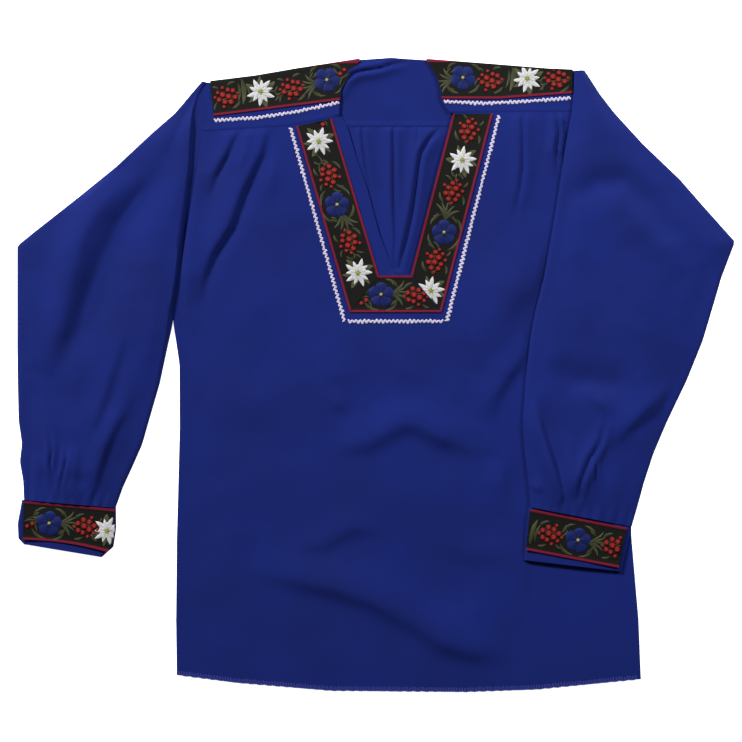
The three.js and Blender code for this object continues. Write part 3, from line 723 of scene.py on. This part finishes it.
def left_upper(x, y, t, chord):
    crest = 4.6 * ramp(t, 0.6, 1) * ramp(chord, 4, 40) * ramp(y, -40, 80)
    inside = ramp(t, 0, 0.1) * ramp(t, 1, 0.9)
    lie = (folds(x, y, LEFT_SLEEVE_FOLDS) + waver(x, y, 60, 2.2, 1.7) + waver(x, y, 22, 0.45, 5.2)) * inside
    down_to_cuff = 1 - CUFF_PRESS * ramp(y, -110, -152)
    top = BACK_MID + TUBE_OPEN + puff(t, chord) * down_to_cuff + crest + lie + gathers(t, y + 154, 9, 0.4)
    return np.maximum(top, BACK_MID + CUFF_OPEN)


def on_table(x, y, t, chord):
    return BACK_MID + 0 * x


def beside_front(x, y, t, chord):
    return FRONT_MID + 0 * x


points = wrapped_points(LEFT_SLEEVE, on_table, left_upper, beside_front, tucked=False)
sleeve_left = cloth_shell("sleeve_left", points)
finish_cloth(sleeve_left, "sleeve_left")


def right_under(x, y, t, chord):
    on_body = ramp(x, 350, 314) * ramp(y, 92, 52)
    return BACK_MID + 2 * LAYER * on_body


def on_front(x, y, t, chord):
    return FRONT_MID + LAYER + 0 * x


def right_upper(x, y, t, chord):
    outer_under = right_under(x + t * chord, y, t, chord)
    over_tuck = outer_under + (FRONT_MID + LAYER - outer_under) * ramp(t, 0, 0.5)
    base = np.maximum(right_under(x, y, t, chord), over_tuck) + TUBE_OPEN
    inside = ramp(t, 0, 0.1) * ramp(t, 1, 0.93)
    lie = (folds(x, y, RIGHT_SLEEVE_FOLDS) + waver(x, y, 60, 2.4, 9.3) + waver(x, y, 22, 0.5, 2.6)) * inside
    down_to_cuff = 1 - CUFF_PRESS * ramp(y, -125, -165)
    top = base + puff(t, chord, high=5.2) * down_to_cuff + lie + gathers(t, y + 167, 10, 1.9)
    return np.maximum(top, base - TUBE_OPEN + CUFF_OPEN)


points = wrapped_points(RIGHT_SLEEVE, right_under, right_upper, on_front, tucked=True)
sleeve_right = cloth_shell("sleeve_right", points)
finish_cloth(sleeve_right, "sleeve_right")

# Cuffs: flat bands of the same cotton, turned double, that hold the sleeves' gathers. Each
# is one wrapped piece too, sewn to the end of its sleeve and pressed flat.
LEFT_CUFF = {
    "outer_x": [-424.5, -429.8, -429, -422],
    "outer_y": [-149.85, -178, -196, -203],
    "inner_x": [-312, -311.8, -315, -329],
    "inner_y": [-158.9, -184, -206, -218.5],
    "seam_x": [-368, -370, -371, -372],
}
RIGHT_CUFF = {
    "outer_x": [305.4, 299.5, 293],
    "outer_y": [-181.5, -206, -235],
    "inner_x": [182.6, 178.6, 176.8],
    "inner_y": [-158.3, -192, -221.5],
    "seam_x": [244, 241, 238],
}


def cuff_upper(under):
    def upper(x, y, t, chord):
        swell = 0.9 * np.sin(np.pi * t) + waver(np.atleast_1d(x), np.atleast_1d(y), 30, 0.4, 4.4)
        return under(x, y, t, chord) + CUFF_OPEN + swell * ramp(t, 0, 0.1) * ramp(t, 1, 0.9)
    return upper


for name, table, under, rests in [
    ("cuff_left", LEFT_CUFF, on_table, "table_top"), ("cuff_right", RIGHT_CUFF, on_front, "front_panel"),
]:
    points = wrapped_points(table, under, cuff_upper(under), under, tucked=True, rows=18)
    cuff = cloth_shell(name, points)
    finish_cloth(cuff, name)

# Ribbons: a flowered band, woven on a near-black ground with a red edge on each side. It
# is sewn flat round the neck slit, with mitred corners, along both shoulders, where it
# turns over the fold, and on the cuffs.
RIBBON_WALL = 0.7
RIBBON_WIDTH = 44
RED_EDGE = 2.6
TRIM_GAP = 0.25          # between a piece of trim and the cloth below
RIBBON_ROWS = np.concatenate([
    [0, 0.3, RED_EDGE - 0.3],
    np.linspace(RED_EDGE + 0.3, RIBBON_WIDTH - RED_EDGE - 0.3, 15),
    [RIBBON_WIDTH - RED_EDGE + 0.3, RIBBON_WIDTH - 0.3, RIBBON_WIDTH],
]) / RIBBON_WIDTH


def trim_z(x, y):
    return front_z(x, y) + (WALL + RIBBON_WALL) / 2 + TRIM_GAP


def edge_rise(from_edge):
    """The red edges are woven a little thicker than the ground."""
    nearest = np.minimum(from_edge, RIBBON_WIDTH - from_edge)
    return 0.22 * (1 - ramp(nearest, RED_EDGE - 0.4, RED_EDGE + 0.3))


def ribbon_material():
    material = woven_material(
        "flowered_ribbon", colour=(0.0046, 0.0047, 0.0035), shade=(0.0026, 0.0030, 0.0022),
        threads=1500, roughness=0.78, sheen=0.0, bump=0.6,
    )
    tree = material.node_tree
    shader = tree.nodes["Principled BSDF"]
    ground = shader.inputs["Base Color"].links[0].from_socket
    on_cloth = next(node for node in tree.nodes if node.type == "UVMAP")
    _, across = split_place(tree, on_cloth.outputs["UV"])
    half = RIBBON_WIDTH / 2 * MM
    away = math_node(tree, "ABSOLUTE", math_node(tree, "SUBTRACT", across, half))
    on_edge = map_range(tree, away, half - RED_EDGE * MM, half - (RED_EDGE - 0.25) * MM)
    red = colour_mix(tree, on_edge, ground, (0.11, 0.0042, 0.015, 1))
    tree.links.new(red, shader.inputs["Base Color"])
    return material


RIBBON = ribbon_material()


def finish_ribbon(ribbon, node):
    ribbon.data.materials.append(RIBBON)
    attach(ribbon, "root")
    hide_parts(node)


def straight_band(near, far, steps, height, bow=0, swell=0):
    """Rows across a band from its near edge to its far one, each edge given by its ends.
    The near edge may be bowed in towards the far one, and the last end swell outwards."""
    t = np.linspace(0, 1, steps)
    near_line = np.array(near[0]) + np.outer(t, np.subtract(near[1], near[0]))
    near_line[:, 1] += bow * np.sin(math.pi * t)
    far_line = np.array(far[0]) + np.outer(t, np.subtract(far[1], far[0]))
    plan = near_line + RIBBON_ROWS[:, None, None] * (far_line - near_line)
    plan[..., 0] += swell * np.outer(np.sin(math.pi * RIBBON_ROWS**0.6), t)
    x, y = plan[..., 0], plan[..., 1]
    across = np.repeat(RIBBON_ROWS[:, None] * RIBBON_WIDTH, steps, axis=1)
    middle = (np.add(near[0], far[0])) / 2
    direction = np.subtract(np.add(near[1], far[1]) / 2, middle)
    direction = direction / np.linalg.norm(direction)
    along = (x - middle[0]) * direction[0] + (y - middle[1]) * direction[1]
    z = height(x, y) + edge_rise(across)
    return stacked(x, y, z), stacked(along, across) * MM


# The two sides and the foot of the slit's frame: outer and inner edges, by their ends.
NECK_BANDS = {
    "neck_ribbon_left": (((-95.8, 297.5), (-31.9, 75.3)), ((-53, 306.8), (3.4, 119.1))),
    "neck_ribbon_foot": (((-31.6, 75), (78, 75)), ((3.7, 118.8), (41, 118.8))),
    "neck_ribbon_right": (((78.3, 75.3), (139.7, 312.6)), ((41.3, 119.1), (91.6, 312.3))),
}
for node, (outer, inner) in NECK_BANDS.items():
    points, place = straight_band(outer, inner, 72 if node != "neck_ribbon_foot" else 40, trim_z)
    ribbon = cloth_shell(node, points, wall=RIBBON_WALL, place=place)
    finish_ribbon(ribbon, node)

# Along the shoulders the band's lower edge shows whole. Its upper part goes over the fold.
SHOULDER_WIDTH = 46.5
SHOULDER_RIBBONS = {
    "shoulder_ribbon_left": {
        "x": [-195, -133, -43],
        "lower": [310.2, 317.8, 329.2],
        "ends": lambda y: (-194.8 - 4 * ramp(y, 313, 350), read(NECK, "y", y, "left") - 0.3),
    },
    "shoulder_ribbon_right": {
        "x": [79, 146, 235],
        "lower": [330.8, 330.6, 337.4],
        "ends": lambda y: (read(NECK, "y", y, "right") + 0.3, 233.4 + 2 * ramp(y, 325, 345)),
    },
}
for node, band in SHOULDER_RIBBONS.items():
    def lower_edge(x):
        return np.interp(x, band["x"], band["lower"])

    v = np.concatenate([[0.012], np.linspace(0.05, 0.9, 16), [0.935, 0.99, 1]])
    x, y = panel_points(
        v, np.linspace(0, 1, 60), top=lambda x: shoulder_y(x) - 0.4, foot=lower_edge, edges=band["ends"],
    )
    slope = (band["lower"][-1] - band["lower"][0]) / (band["x"][-1] - band["x"][0])
    across = (y - lower_edge(x)) * math.cos(math.atan(slope)) * RIBBON_WIDTH / SHOULDER_WIDTH
    z = trim_z(x, y) + edge_rise(across)
    # round the fold: how far past it, and how high
    turned = []
    for past, height in [(1.1, 0.6), (1.3, 2.0), (1.0, 3.2), (0.3, z[0] - 0.25)]:
        turned.append(stacked(x[0], shoulder_y(x[0]) + past, 0 * x[0] + height))
    points = np.concatenate([np.stack(turned), stacked(x, y, z)])
    over = np.array([3.6, 2.4, 1.2, 0.4])[:, None] + across[0]
    across = np.concatenate([over, across])
    along = np.concatenate([np.repeat(x[:1], 4, axis=0), x])
    ribbon = cloth_shell(node, points, wall=RIBBON_WALL, place=stacked(along, across) * MM)
    finish_ribbon(ribbon, node)

# On the cuffs the band stops just inside the cuff's edges.
CUFF_TRIM_RISE = 1.5     # from a cuff's upper layer, with its swell, to the band
CUFF_BANDS = {
    "cuff_ribbon_left": (((-423, -197.2), (-322.6, -211.8)), ((-422, -150.9), (-313.4, -160.6))),
    "cuff_ribbon_right": (((179, -209.2), (289.6, -230.4)), ((184, -160.2), (299.4, -182.6))),
}


def cuff_trim_z(base):
    def height(x, y):
        wavy = waver(np.atleast_1d(x), np.atleast_1d(y), 30, 0.35, 6.1)
        return base + CUFF_OPEN + CUFF_TRIM_RISE + (WALL + RIBBON_WALL) / 2 + wavy
    return height


CUFF_TRIM_Z = {
    "cuff_ribbon_left": cuff_trim_z(BACK_MID),
    "cuff_ribbon_right": cuff_trim_z(FRONT_MID + LAYER),
}
for node, (lower, upper_edge) in CUFF_BANDS.items():
    bow, swell = (3.4, 4.6) if node == "cuff_ribbon_left" else (0, 0)
    points, place = straight_band(lower, upper_edge, 40, CUFF_TRIM_Z[node], bow, swell)
    ribbon = cloth_shell(node, points, wall=RIBBON_WALL, place=place)
    finish_ribbon(ribbon, node)

# Flowers of the ribbon: edelweiss, gentian, sprays of red berries and olive leaves, each
# a patch of long stitches that stands a little above the ground. Each is made once, in
# its ribbon's own directions, and copied to its places along it.
PETAL = ([0, 0.15, 0.4, 0.7, 0.9, 1], [0.5, 0.82, 1, 0.72, 0.34, 0.04])
BROAD_PETAL = ([0, 0.2, 0.5, 0.78, 0.94, 1], [0.22, 0.6, 0.98, 1, 0.5, 0.06])
LEAF = ([0, 0.12, 0.35, 0.7, 0.9, 1], [0.16, 0.5, 1, 0.75, 0.35, 0.04])
STEM = ([0, 0.2, 0.5, 0.8, 0.95, 1], [0.6, 1, 1, 1, 0.9, 0.5])
WHITE, YELLOW, BLUE, RED, OLIVE = range(5)


def ring_faces(rings, sides):
    """The faces between rings of points, each ring with as many points as sides."""
    faces = []
    for ring in range(rings - 1):
        for corner in range(sides):
            a, b = ring * sides + corner, ring * sides + (corner + 1) % sides
            faces.append((a, b, b + sides, a + sides))
    return faces


def stitched_blade(start, end, width, outline, thread, bow, rise, lift=0.0):
    """One petal, leaf or stem: a low ridge from start to end, bowed to its left."""
    shares = np.array(outline[0])
    halves = np.array(outline[1]) * width / 2
    start, end = np.array(start, float), np.array(end, float)
    length = np.linalg.norm(end - start)
    along = (end - start) / length
    left = np.array([-along[1], along[0]])
    spine = start + np.outer(shares * length, along) + np.outer(4 * bow * shares * (1 - shares), left)
    normal = left_of(unit(np.gradient(spine, axis=0)))
    section = np.array([(1, 0), (0.55, 0.75), (0, 1), (-0.55, 0.75), (-1, 0), (0, -0.3)])
    flat = spine[:, None] + normal[:, None] * (section[:, 0] * halves[:, None])[..., None]
    height = lift + section[:, 1] * rise * np.sqrt(halves / halves.max())[:, None]
    points = np.concatenate([flat, height[..., None]], axis=-1).reshape(-1, 3)
    rings, sides = len(shares), len(section)
    faces = [(a, d, c, b) for a, b, c, d in ring_faces(rings, sides)]
    faces.append(tuple(range(sides)))
    faces.append(tuple(reversed(range((rings - 1) * sides, rings * sides))))
    places = stacked(np.repeat(shares, sides), np.tile(section[:, 0], rings))
    return points, faces, places, thread


def knot(centre, radius, thread, rise, lift):
    """One berry or flower heart: a small dome, by its rings' radii and heights."""
    sides = 10
    turn = np.arange(sides) / sides * 2 * math.pi
    rings = [(1, -0.1), (1, 0.2), (0.8, 0.7), (0.42, 0.95)]
    last = (len(rings) - 1) * sides
    points = [
        (centre[0] + radius * out * math.cos(a), centre[1] + radius * out * math.sin(a), lift + rise * up)
        for out, up in rings for a in turn
    ]
    # painted highlight and shade: the dome's top takes its thread's tip colour, its rim the root colour
    places = [(1 - out * 0.9, a / 6) for out, _ in rings for a in turn]
    points.append((centre[0], centre[1], lift + rise))
    places.append((1, 0.5))
    faces = [tuple(reversed(range(sides))), *ring_faces(len(rings), sides)]
    faces += [(last + corner, last + (corner + 1) % sides, last + sides) for corner in range(sides)]
    return np.array(points), faces, np.array(places), thread


def round_flower(rays, thread, outline, rise, inner=1.5, lift=0.0):
    blades = []
    for degrees, length, width, bow in rays:
        a = math.radians(degrees)
        way = np.array([math.cos(a), math.sin(a)])
        blades.append(stitched_blade(way * inner, way * length, width, outline, thread, bow, rise, lift))
    return blades


def leaves(*rows, outline=LEAF):
    """Olive leaves or stems, each by its two ends, its width, its bow and its rise."""
    return [
        stitched_blade((x0, y0), (x1, y1), width, outline, OLIVE, bow, rise)
        for x0, y0, x1, y1, width, bow, rise in rows
    ]


def five_petals(long, broad, short, narrow):
    return [(16 + 72 * i, (long, short)[i % 2], (broad, narrow)[i % 2], 0) for i in range(5)]


EDELWEISS = [
    *round_flower(
        [(98, 20, 9, 1), (205, 21, 8, -1), (262, 19, 6, 1), (320, 20, 8, 1), (30, 19, 6, 1)],
        OLIVE, LEAF, 0.35,
    ),
    *round_flower([
        (6, 17.5, 6.2, 0.6), (40, 14.5, 5.8, -0.5), (74, 17.2, 6.2, 0.5), (110, 14.2, 5.6, 0.4),
        (148, 17.8, 6.4, -0.7), (185, 14.8, 5.6, 0.4), (219, 17.4, 6.2, 0.5), (255, 14.4, 5.6, -0.4),
        (289, 17, 6.4, 0.6), (325, 14.6, 5.8, 0.5),
    ], WHITE, PETAL, 0.7, lift=0.15),
    *round_flower([
        (24, 10, 4.8, 0.2), (60, 9, 4, 0), (95, 10.5, 4.8, 0), (132, 9, 4, 0), (168, 10, 4.8, -0.2),
        (204, 9, 4, 0), (238, 10.5, 4.8, 0), (274, 9, 4, 0), (309, 10, 4.8, 0),
    ], WHITE, PETAL, 0.6, lift=0.55),
    *[knot((2.4 * math.cos(a), 2.4 * math.sin(a)), 1.3, YELLOW, 0.7, 0.8)
      for a in (0.3, 1.5, 2.8, 4.1, 5.3)],
    knot((0, 0), 1.5, YELLOW, 0.9, 0.9),
]
GENTIAN = [
    *leaves(
        (-20, -8, -3, -18, 3.6, -3.4, 0.4), (-20, 7, -6, 18, 3.4, 3, 0.4),
        (-21, 1, -14, 10, 2.4, -2, 0.4), (19, -10, 4, -18.6, 3.2, 3, 0.4),
        (20, 8, 5, 18.4, 3.6, -3.2, 0.4), (20, -2, 14, -12, 2.2, 1.6, 0.4),
    ),
    *round_flower(five_petals(15.5, 13.5, 15, 13), BLUE, BROAD_PETAL, 0.8, inner=0.6, lift=0.1),
    *round_flower(five_petals(9.5, 4, 9, 4), BLUE, PETAL, 0.45, inner=1, lift=0.55),
    knot((0.1, 0.2), 2.0, YELLOW, 0.8, 0.8),
]
BERRY_PLACES = [
    (-10, 3.4, 3.3), (-8.8, -5, 3.1), (-4, 8.2, 3.4), (-3, -7, 3.0), (-2.4, 1, 3.8), (3, -10.8, 2.3),
    (3.2, 6.6, 3.4), (4.2, -2.4, 3.8), (5.4, 12, 2.3), (9.6, 2.8, 3.3), (9.6, -6, 2.5), (13.8, -1, 2.1),
    (-14, -1, 1.9),
]
BERRIES = [
    *leaves(*[(-17, -1, u, v, 1.1, 1.2, 0.3) for u, v, _ in BERRY_PLACES[::3]], outline=STEM),
    *leaves(
        (-15, 8, -4, 15.5, 3.4, 1.8, 0.4), (8, -10, 15.5, -14, 2.8, -1.4, 0.4),
        (-3, -12, -13, -15, 3.2, 1.6, 0.4), (12, 5, 17, 14, 2.6, -1.6, 0.4),
    ),
    *[knot((u, v), radius, RED, 0.35 + 0.18 * radius, 0.2) for u, v, radius in BERRY_PLACES],
]
LEAVES = leaves(
    (-10, 0, 6, 15, 3.8, -3.0, 0.5), (-10, -0.5, 9.5, 9, 3.4, -2.0, 0.6), (-10, -1, 12, 1, 3.0, 0.8, 0.55),
    (-10, -1, 9, -8, 3.4, 2.0, 0.6), (-10, -2, 4, -15, 3.8, 3.0, 0.5), (-3, 9, -9, 14.5, 2.2, 1.4, 0.4),
    (-3, -9, -9, -15, 2.2, -1.4, 0.4),
)
BIG_LEAF = leaves(
    (-2, -15, 2, 15, 6.5, 2.4, 0.5), (3, -11, 7, 11, 3.2, 2.2, 0.4), (-6, -6, -7, 9, 2.6, 1.6, 0.4),
)
BERRY_PAIR = [
    knot((-3, -2), 2.6, RED, 0.9, 0.2),
    knot((2.8, 1.8), 2.9, RED, 0.9, 0.2),
    *leaves((-8, 3, 6, 6, 2.2, 1.4, 0.4), (3, 3, 9, -7, 2.2, 1.4, 0.4)),
]
SCROLL = [
    *leaves((-11, -3, 2, 2, 1.6, 2.2, 0.3), (0, 1, 12, -3, 1.6, -2.2, 0.3), outline=STEM),
    *leaves((-2, 2, 4, 9, 2.6, 1.4, 0.35), (2, 0, -3, -7, 2.4, 1.2, 0.35)),
]
FLOWERS = {
    "neck_ribbon_left": (-73.4, [
        (BERRY_PAIR, -66.2, 301.8), (EDELWEISS, -68.6, 279.4), (BERRIES, -56.6, 238.6),
        (GENTIAN, -47, 203.8), (LEAVES, -37.4, 184), (BERRIES, -32.6, 159.4),
        (EDELWEISS, -21.8, 122.2), (SCROLL, -67, 254), (SCROLL, -28, 141),
    ]),
    "neck_ribbon_foot": (0, [
        (BERRY_PAIR, -14.6, 87.6), (GENTIAN, 5.8, 96), (LEAVES, 27.4, 98), (BERRIES, 47.8, 94.6),
    ]),
    "neck_ribbon_right": (76, [
        (EDELWEISS, 65.5, 100.5), (BERRIES, 71.6, 136.6), (GENTIAN, 81.4, 170.4), (LEAVES, 84.4, 195.6),
        (BERRIES, 92.2, 219), (EDELWEISS, 103.2, 256.6), (BERRIES, 111, 292.6), (SCROLL, 98, 238),
    ]),
    "shoulder_ribbon_left": (-168.4, [
        (BERRIES, -179, 333.6), (BIG_LEAF, -160.5, 339.4), (EDELWEISS, -138.2, 339), (BERRIES, -101, 343.2),
        (LEAVES, -78.2, 346), (GENTIAN, -59, 353.4), (BERRY_PAIR, -40.5, 362.6), (SCROLL, -119, 338),
    ]),
    "shoulder_ribbon_right": (180, [
        (LEAVES, 84.8, 352.6), (GENTIAN, 104, 356), (BERRIES, 136.6, 353), (BIG_LEAF, 161.8, 354.6),
        (EDELWEISS, 181, 354.6), (BERRIES, 216, 354.6), (SCROLL, 199, 350),
    ]),
    "cuff_ribbon_left": (-6.9, [
        (BERRY_PAIR, -414.4, -179.6), (SCROLL, -408, -173), (GENTIAN, -391.4, -177.8),
        (LEAVES, -369.6, -177.6), (BERRIES, -347.2, -182.6), (EDELWEISS, -322, -186.6),
    ]),
    "cuff_ribbon_right": (-10.5, [
        (BIG_LEAF, 188.6, -187.6), (BERRIES, 208.4, -191), (GENTIAN, 241, -197.6), (LEAVES, 263.4, -201),
        (BERRIES, 284.5, -205.6),
    ]),
}


def thread_group():
    """Threads laid side by side along a stitch, fading from its root to its tip, with painted
    shade in the grooves between them. On a knot the rim takes the root colour as painted
    shade and the top takes the tip colour as a painted highlight. It puts out their colour and
    their height."""
    group, source, result = new_group(
        "laid_threads",
        [("Place", "Vector"), ("Threads across", "Float"), ("Root and shade", "Color"), ("Tip and highlight", "Color")],
        [("Colour", "Color"), ("Height", "Float")],
    )
    along, across = split_place(group, source["Place"])
    towards_tip_and_highlight = math_node(group, "POWER", along, 2.2)
    fade = colour_mix(group, towards_tip_and_highlight, source["Root and shade"], source["Tip and highlight"])
    turns = math_node(group, "MULTIPLY", source["Threads across"], math.pi)
    ridge = math_node(group, "SINE", math_node(group, "MULTIPLY", across, turns))
    # painted shade: the grooves between the threads are darkened
    groove_shade = map_range(group, ridge, -1, -0.4, 0.3, 0)
    group.links.new(colour_mix(group, groove_shade, fade, (0.3, 0.3, 0.3, 1), "MULTIPLY"), result["Colour"])
    group.links.new(ridge, result["Height"])
    return group


LAID_THREADS = thread_group()


def thread_material(name, root, tip, threads_across, sheen):
    material, tree, shader = new_material(name, {
        "Roughness": 0.6, "Specular IOR Level": 0.12, "Sheen Weight": sheen,
    })
    on_stitch = tree.nodes.new("ShaderNodeUVMap").outputs["UV"]
    laid = effect(tree, LAID_THREADS, on_stitch, {
        "Threads across": threads_across, "Root and shade": (*root, 1), "Tip and highlight": (*tip, 1),
    })
    tree.links.new(laid["Colour"], shader.inputs["Base Color"])
    add_relief(tree, shader, laid["Height"], strength=0.4, distance=2 * THREAD_HEIGHT)
    return material


# On the berries' and flower hearts' knots the tip colour is a painted highlight and the root colour painted
# shade.
THREADS = [
    thread_material("white_thread", (0.34, 0.34, 0.34), (0.51, 0.50, 0.51), 5, 0.1),
    thread_material("yellow_thread", (0.17, 0.17, 0.03), (0.30, 0.28, 0.07), 3, 0.1),
    thread_material("gentian_thread", (0.0022, 0.0058, 0.052), (0.0036, 0.0105, 0.092), 7, 0.0),
    thread_material("berry_thread", (0.080, 0.0026, 0.0026), (0.36, 0.021, 0.012), 3, 0.0),
    thread_material("leaf_thread", (0.022, 0.026, 0.010), (0.066, 0.068, 0.030), 5, 0.0),
]


def joined(name, parts, materials):
    """One mesh from many small closed shapes, each already in its place."""
    points, faces, places, slots = [], [], [], []
    start = 0
    for part_points, part_faces, part_places, slot in parts:
        points.append(part_points)
        places.append(part_places)
        faces += [tuple(start + corner for corner in face) for face in part_faces]
        slots += [slot] * len(part_faces)
        start += len(part_points)
    piece = mesh_piece(name, np.concatenate(points) * MM, faces, np.concatenate(places), sharp=60)
    for material in materials:
        piece.data.materials.append(material)
    piece.data.polygons.foreach_set("material_index", np.array(slots, np.int32))
    return piece


def band_end(node, end, x):
    """The line across a ribbon of the slit's frame at its first or last end."""
    outer, inner = NECK_BANDS[node]
    return np.interp(x, *zip(*sorted([outer[end], inner[end]])))


def inside_band(node, points):
    """Keeps a flower on its ribbon: what would pass an end or a mitre stops there."""
    x, y = points[:, 0], points[:, 1]
    if node == "neck_ribbon_right":
        y = np.maximum(y, band_end(node, 0, x) + 0.6)
        y = np.minimum(y, 311.4)
    if node == "neck_ribbon_foot":
        y = np.minimum(y, np.minimum(band_end(node, 0, x), band_end(node, 1, x)) - 0.6)
    if node == "neck_ribbon_left":
        y = np.minimum(y, band_end(node, 0, x) - 0.8)
        y = np.maximum(y, band_end(node, 1, x) + 0.6)
    if node.startswith("shoulder"):
        y = np.minimum(y, shoulder_y(x) - 0.6)
        x = np.where(x < 20, np.minimum(x, read(NECK, "y", y, "left") - 1), x)
        x = np.where(x > 20, np.maximum(x, read(NECK, "y", y, "right") + 1), x)
        x = np.clip(x, -196, 233)
    if node == "cuff_ribbon_left":
        x = np.clip(x, -422, np.interp(y, [-211.4, -203, -186, -161], [-322, -316, -313, -314]))
    if node == "cuff_ribbon_right":
        near = np.interp(y, [-209.6, -163], [181.4, 186.2])
        x = np.clip(x, near, np.interp(y, [-230, -183.4], [286.5, 296]))
    return x, y


for node, (degrees, places) in FLOWERS.items():
    height = CUFF_TRIM_Z.get(node, trim_z)
    turn = math.radians(degrees)
    spin = np.array([[math.cos(turn), math.sin(turn)], [-math.sin(turn), math.cos(turn)]])
    parts = []
    for motif, centre_x, centre_y in places:
        for part_points, part_faces, part_places, thread in motif:
            plan = part_points[:, :2] @ spin + (centre_x, centre_y)
            x, y = inside_band(node, plan)
            z = height(x, y) + RIBBON_WALL / 2 + part_points[:, 2]
            parts.append((stacked(x, y, z), part_faces, part_places, thread))
    flowers = joined(f"{node}_flowers", parts, THREADS)
    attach(flowers, "root")

# Zigzag braid: a white cord laid beside each ribbon and held in close zigzag stitches.
BRAID_PITCH = 2.5        # from one slanting stitch to the next
BRAID_WIDTH = 5.0
CORD_WIDTH = 2.1
BRAIDS = {
    "neck_braid_left": [(-37.8, 63), (-102.8, 296.5)],
    "neck_braid_right": [(84.3, 63), (147.2, 311)],
    "neck_braid_foot": [(-34.6, 64), (81, 64)],
    "shoulder_braid_left": [(-195, 304.6), (-145, 307.4), (-102, 313.7), (-43.5, 326.2)],
    "shoulder_braid_right": [(80.2, 327.4), (129, 325), (180, 327.4), (234, 331.7)],
}
BRAID_THREAD = thread_material("white_cord", (0.38, 0.35, 0.46), (0.50, 0.46, 0.57), 4, 0.05)


def laid_stitches(starts, ends, width, rise, gap=0):
    """Straight stitches that follow the front, each from its start to its end."""
    parts = []
    for start, end in zip(starts, ends):
        points, *rest = stitched_blade(start, end, width, STEM, 0, 0, rise)
        z = front_z(points[:, 0], points[:, 1]) + WALL / 2 + gap + points[:, 2]
        parts.append((stacked(points[:, 0], points[:, 1], z), *rest))
    return parts


for node, line in BRAIDS.items():
    line = np.array(line, float)
    runs = running(np.linalg.norm(np.diff(line, axis=0), axis=1))
    count = int(runs[-1] / BRAID_PITCH)
    at = np.linspace(1, runs[-1] - 1, count + 1)
    centre = stacked(np.interp(at, runs, line[:, 0]), np.interp(at, runs, line[:, 1]))
    left = left_of(unit(np.gradient(centre, axis=0)))
    uneven = np.array([noise.noise(Vector((a / 7, centre[0, 0], 2.2))) for a in at])
    uneven += 0.6 * np.array([noise.noise(Vector((a / 2.1, 3.3, centre[0, 1]))) for a in at])
    reach = BRAID_WIDTH / 2 * (0.82 + 0.5 * uneven)
    swing = np.where(np.arange(count + 1) % 2 == 0, 1, -1) * reach
    knots = centre + left * swing[:, None]
    parts = laid_stitches(knots[:-1], knots[1:], CORD_WIDTH, rise=0.75, gap=TRIM_GAP)
    parts += laid_stitches(centre[:-1], centre[1:], CORD_WIDTH, rise=0.5, gap=TRIM_GAP)
    braid = joined(node, parts, [BRAID_THREAD])
    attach(braid, "root")
    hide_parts(node)

# Hem stitching: soft blue thread looped over the front's turned edge, one slanting stitch
# after another, with one thread that runs along the edge itself.
HEM_PITCH = 3.3
HEM_DEPTH = 5.2
HEM_LEAN = 1.4           # how far a stitch slants
hem_thread = thread_material("hem_thread", (0.020, 0.027, 0.150), (0.024, 0.032, 0.175), 1, 0.0)
knots = np.arange(HEM["x"][0] + 4, HEM["x"][-1] - 4, HEM_PITCH)
leans = np.array([HEM_LEAN + 0.7 * noise.noise(Vector((x / 4, 1.7, 5.1))) for x in knots])
heads = stacked(knots - leans, hem_y(knots - leans) + HEM_DEPTH + 0.8 * (leans - HEM_LEAN))
loops = stacked(knots, hem_y(knots) + 0.35)
parts = laid_stitches(heads, loops, width=2.0, rise=0.45)
parts += laid_stitches(loops[:-1], loops[1:], width=1.3, rise=0.45)
hem_stitches = joined("hem_stitches", parts, [hem_thread])
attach(hem_stitches, "root")
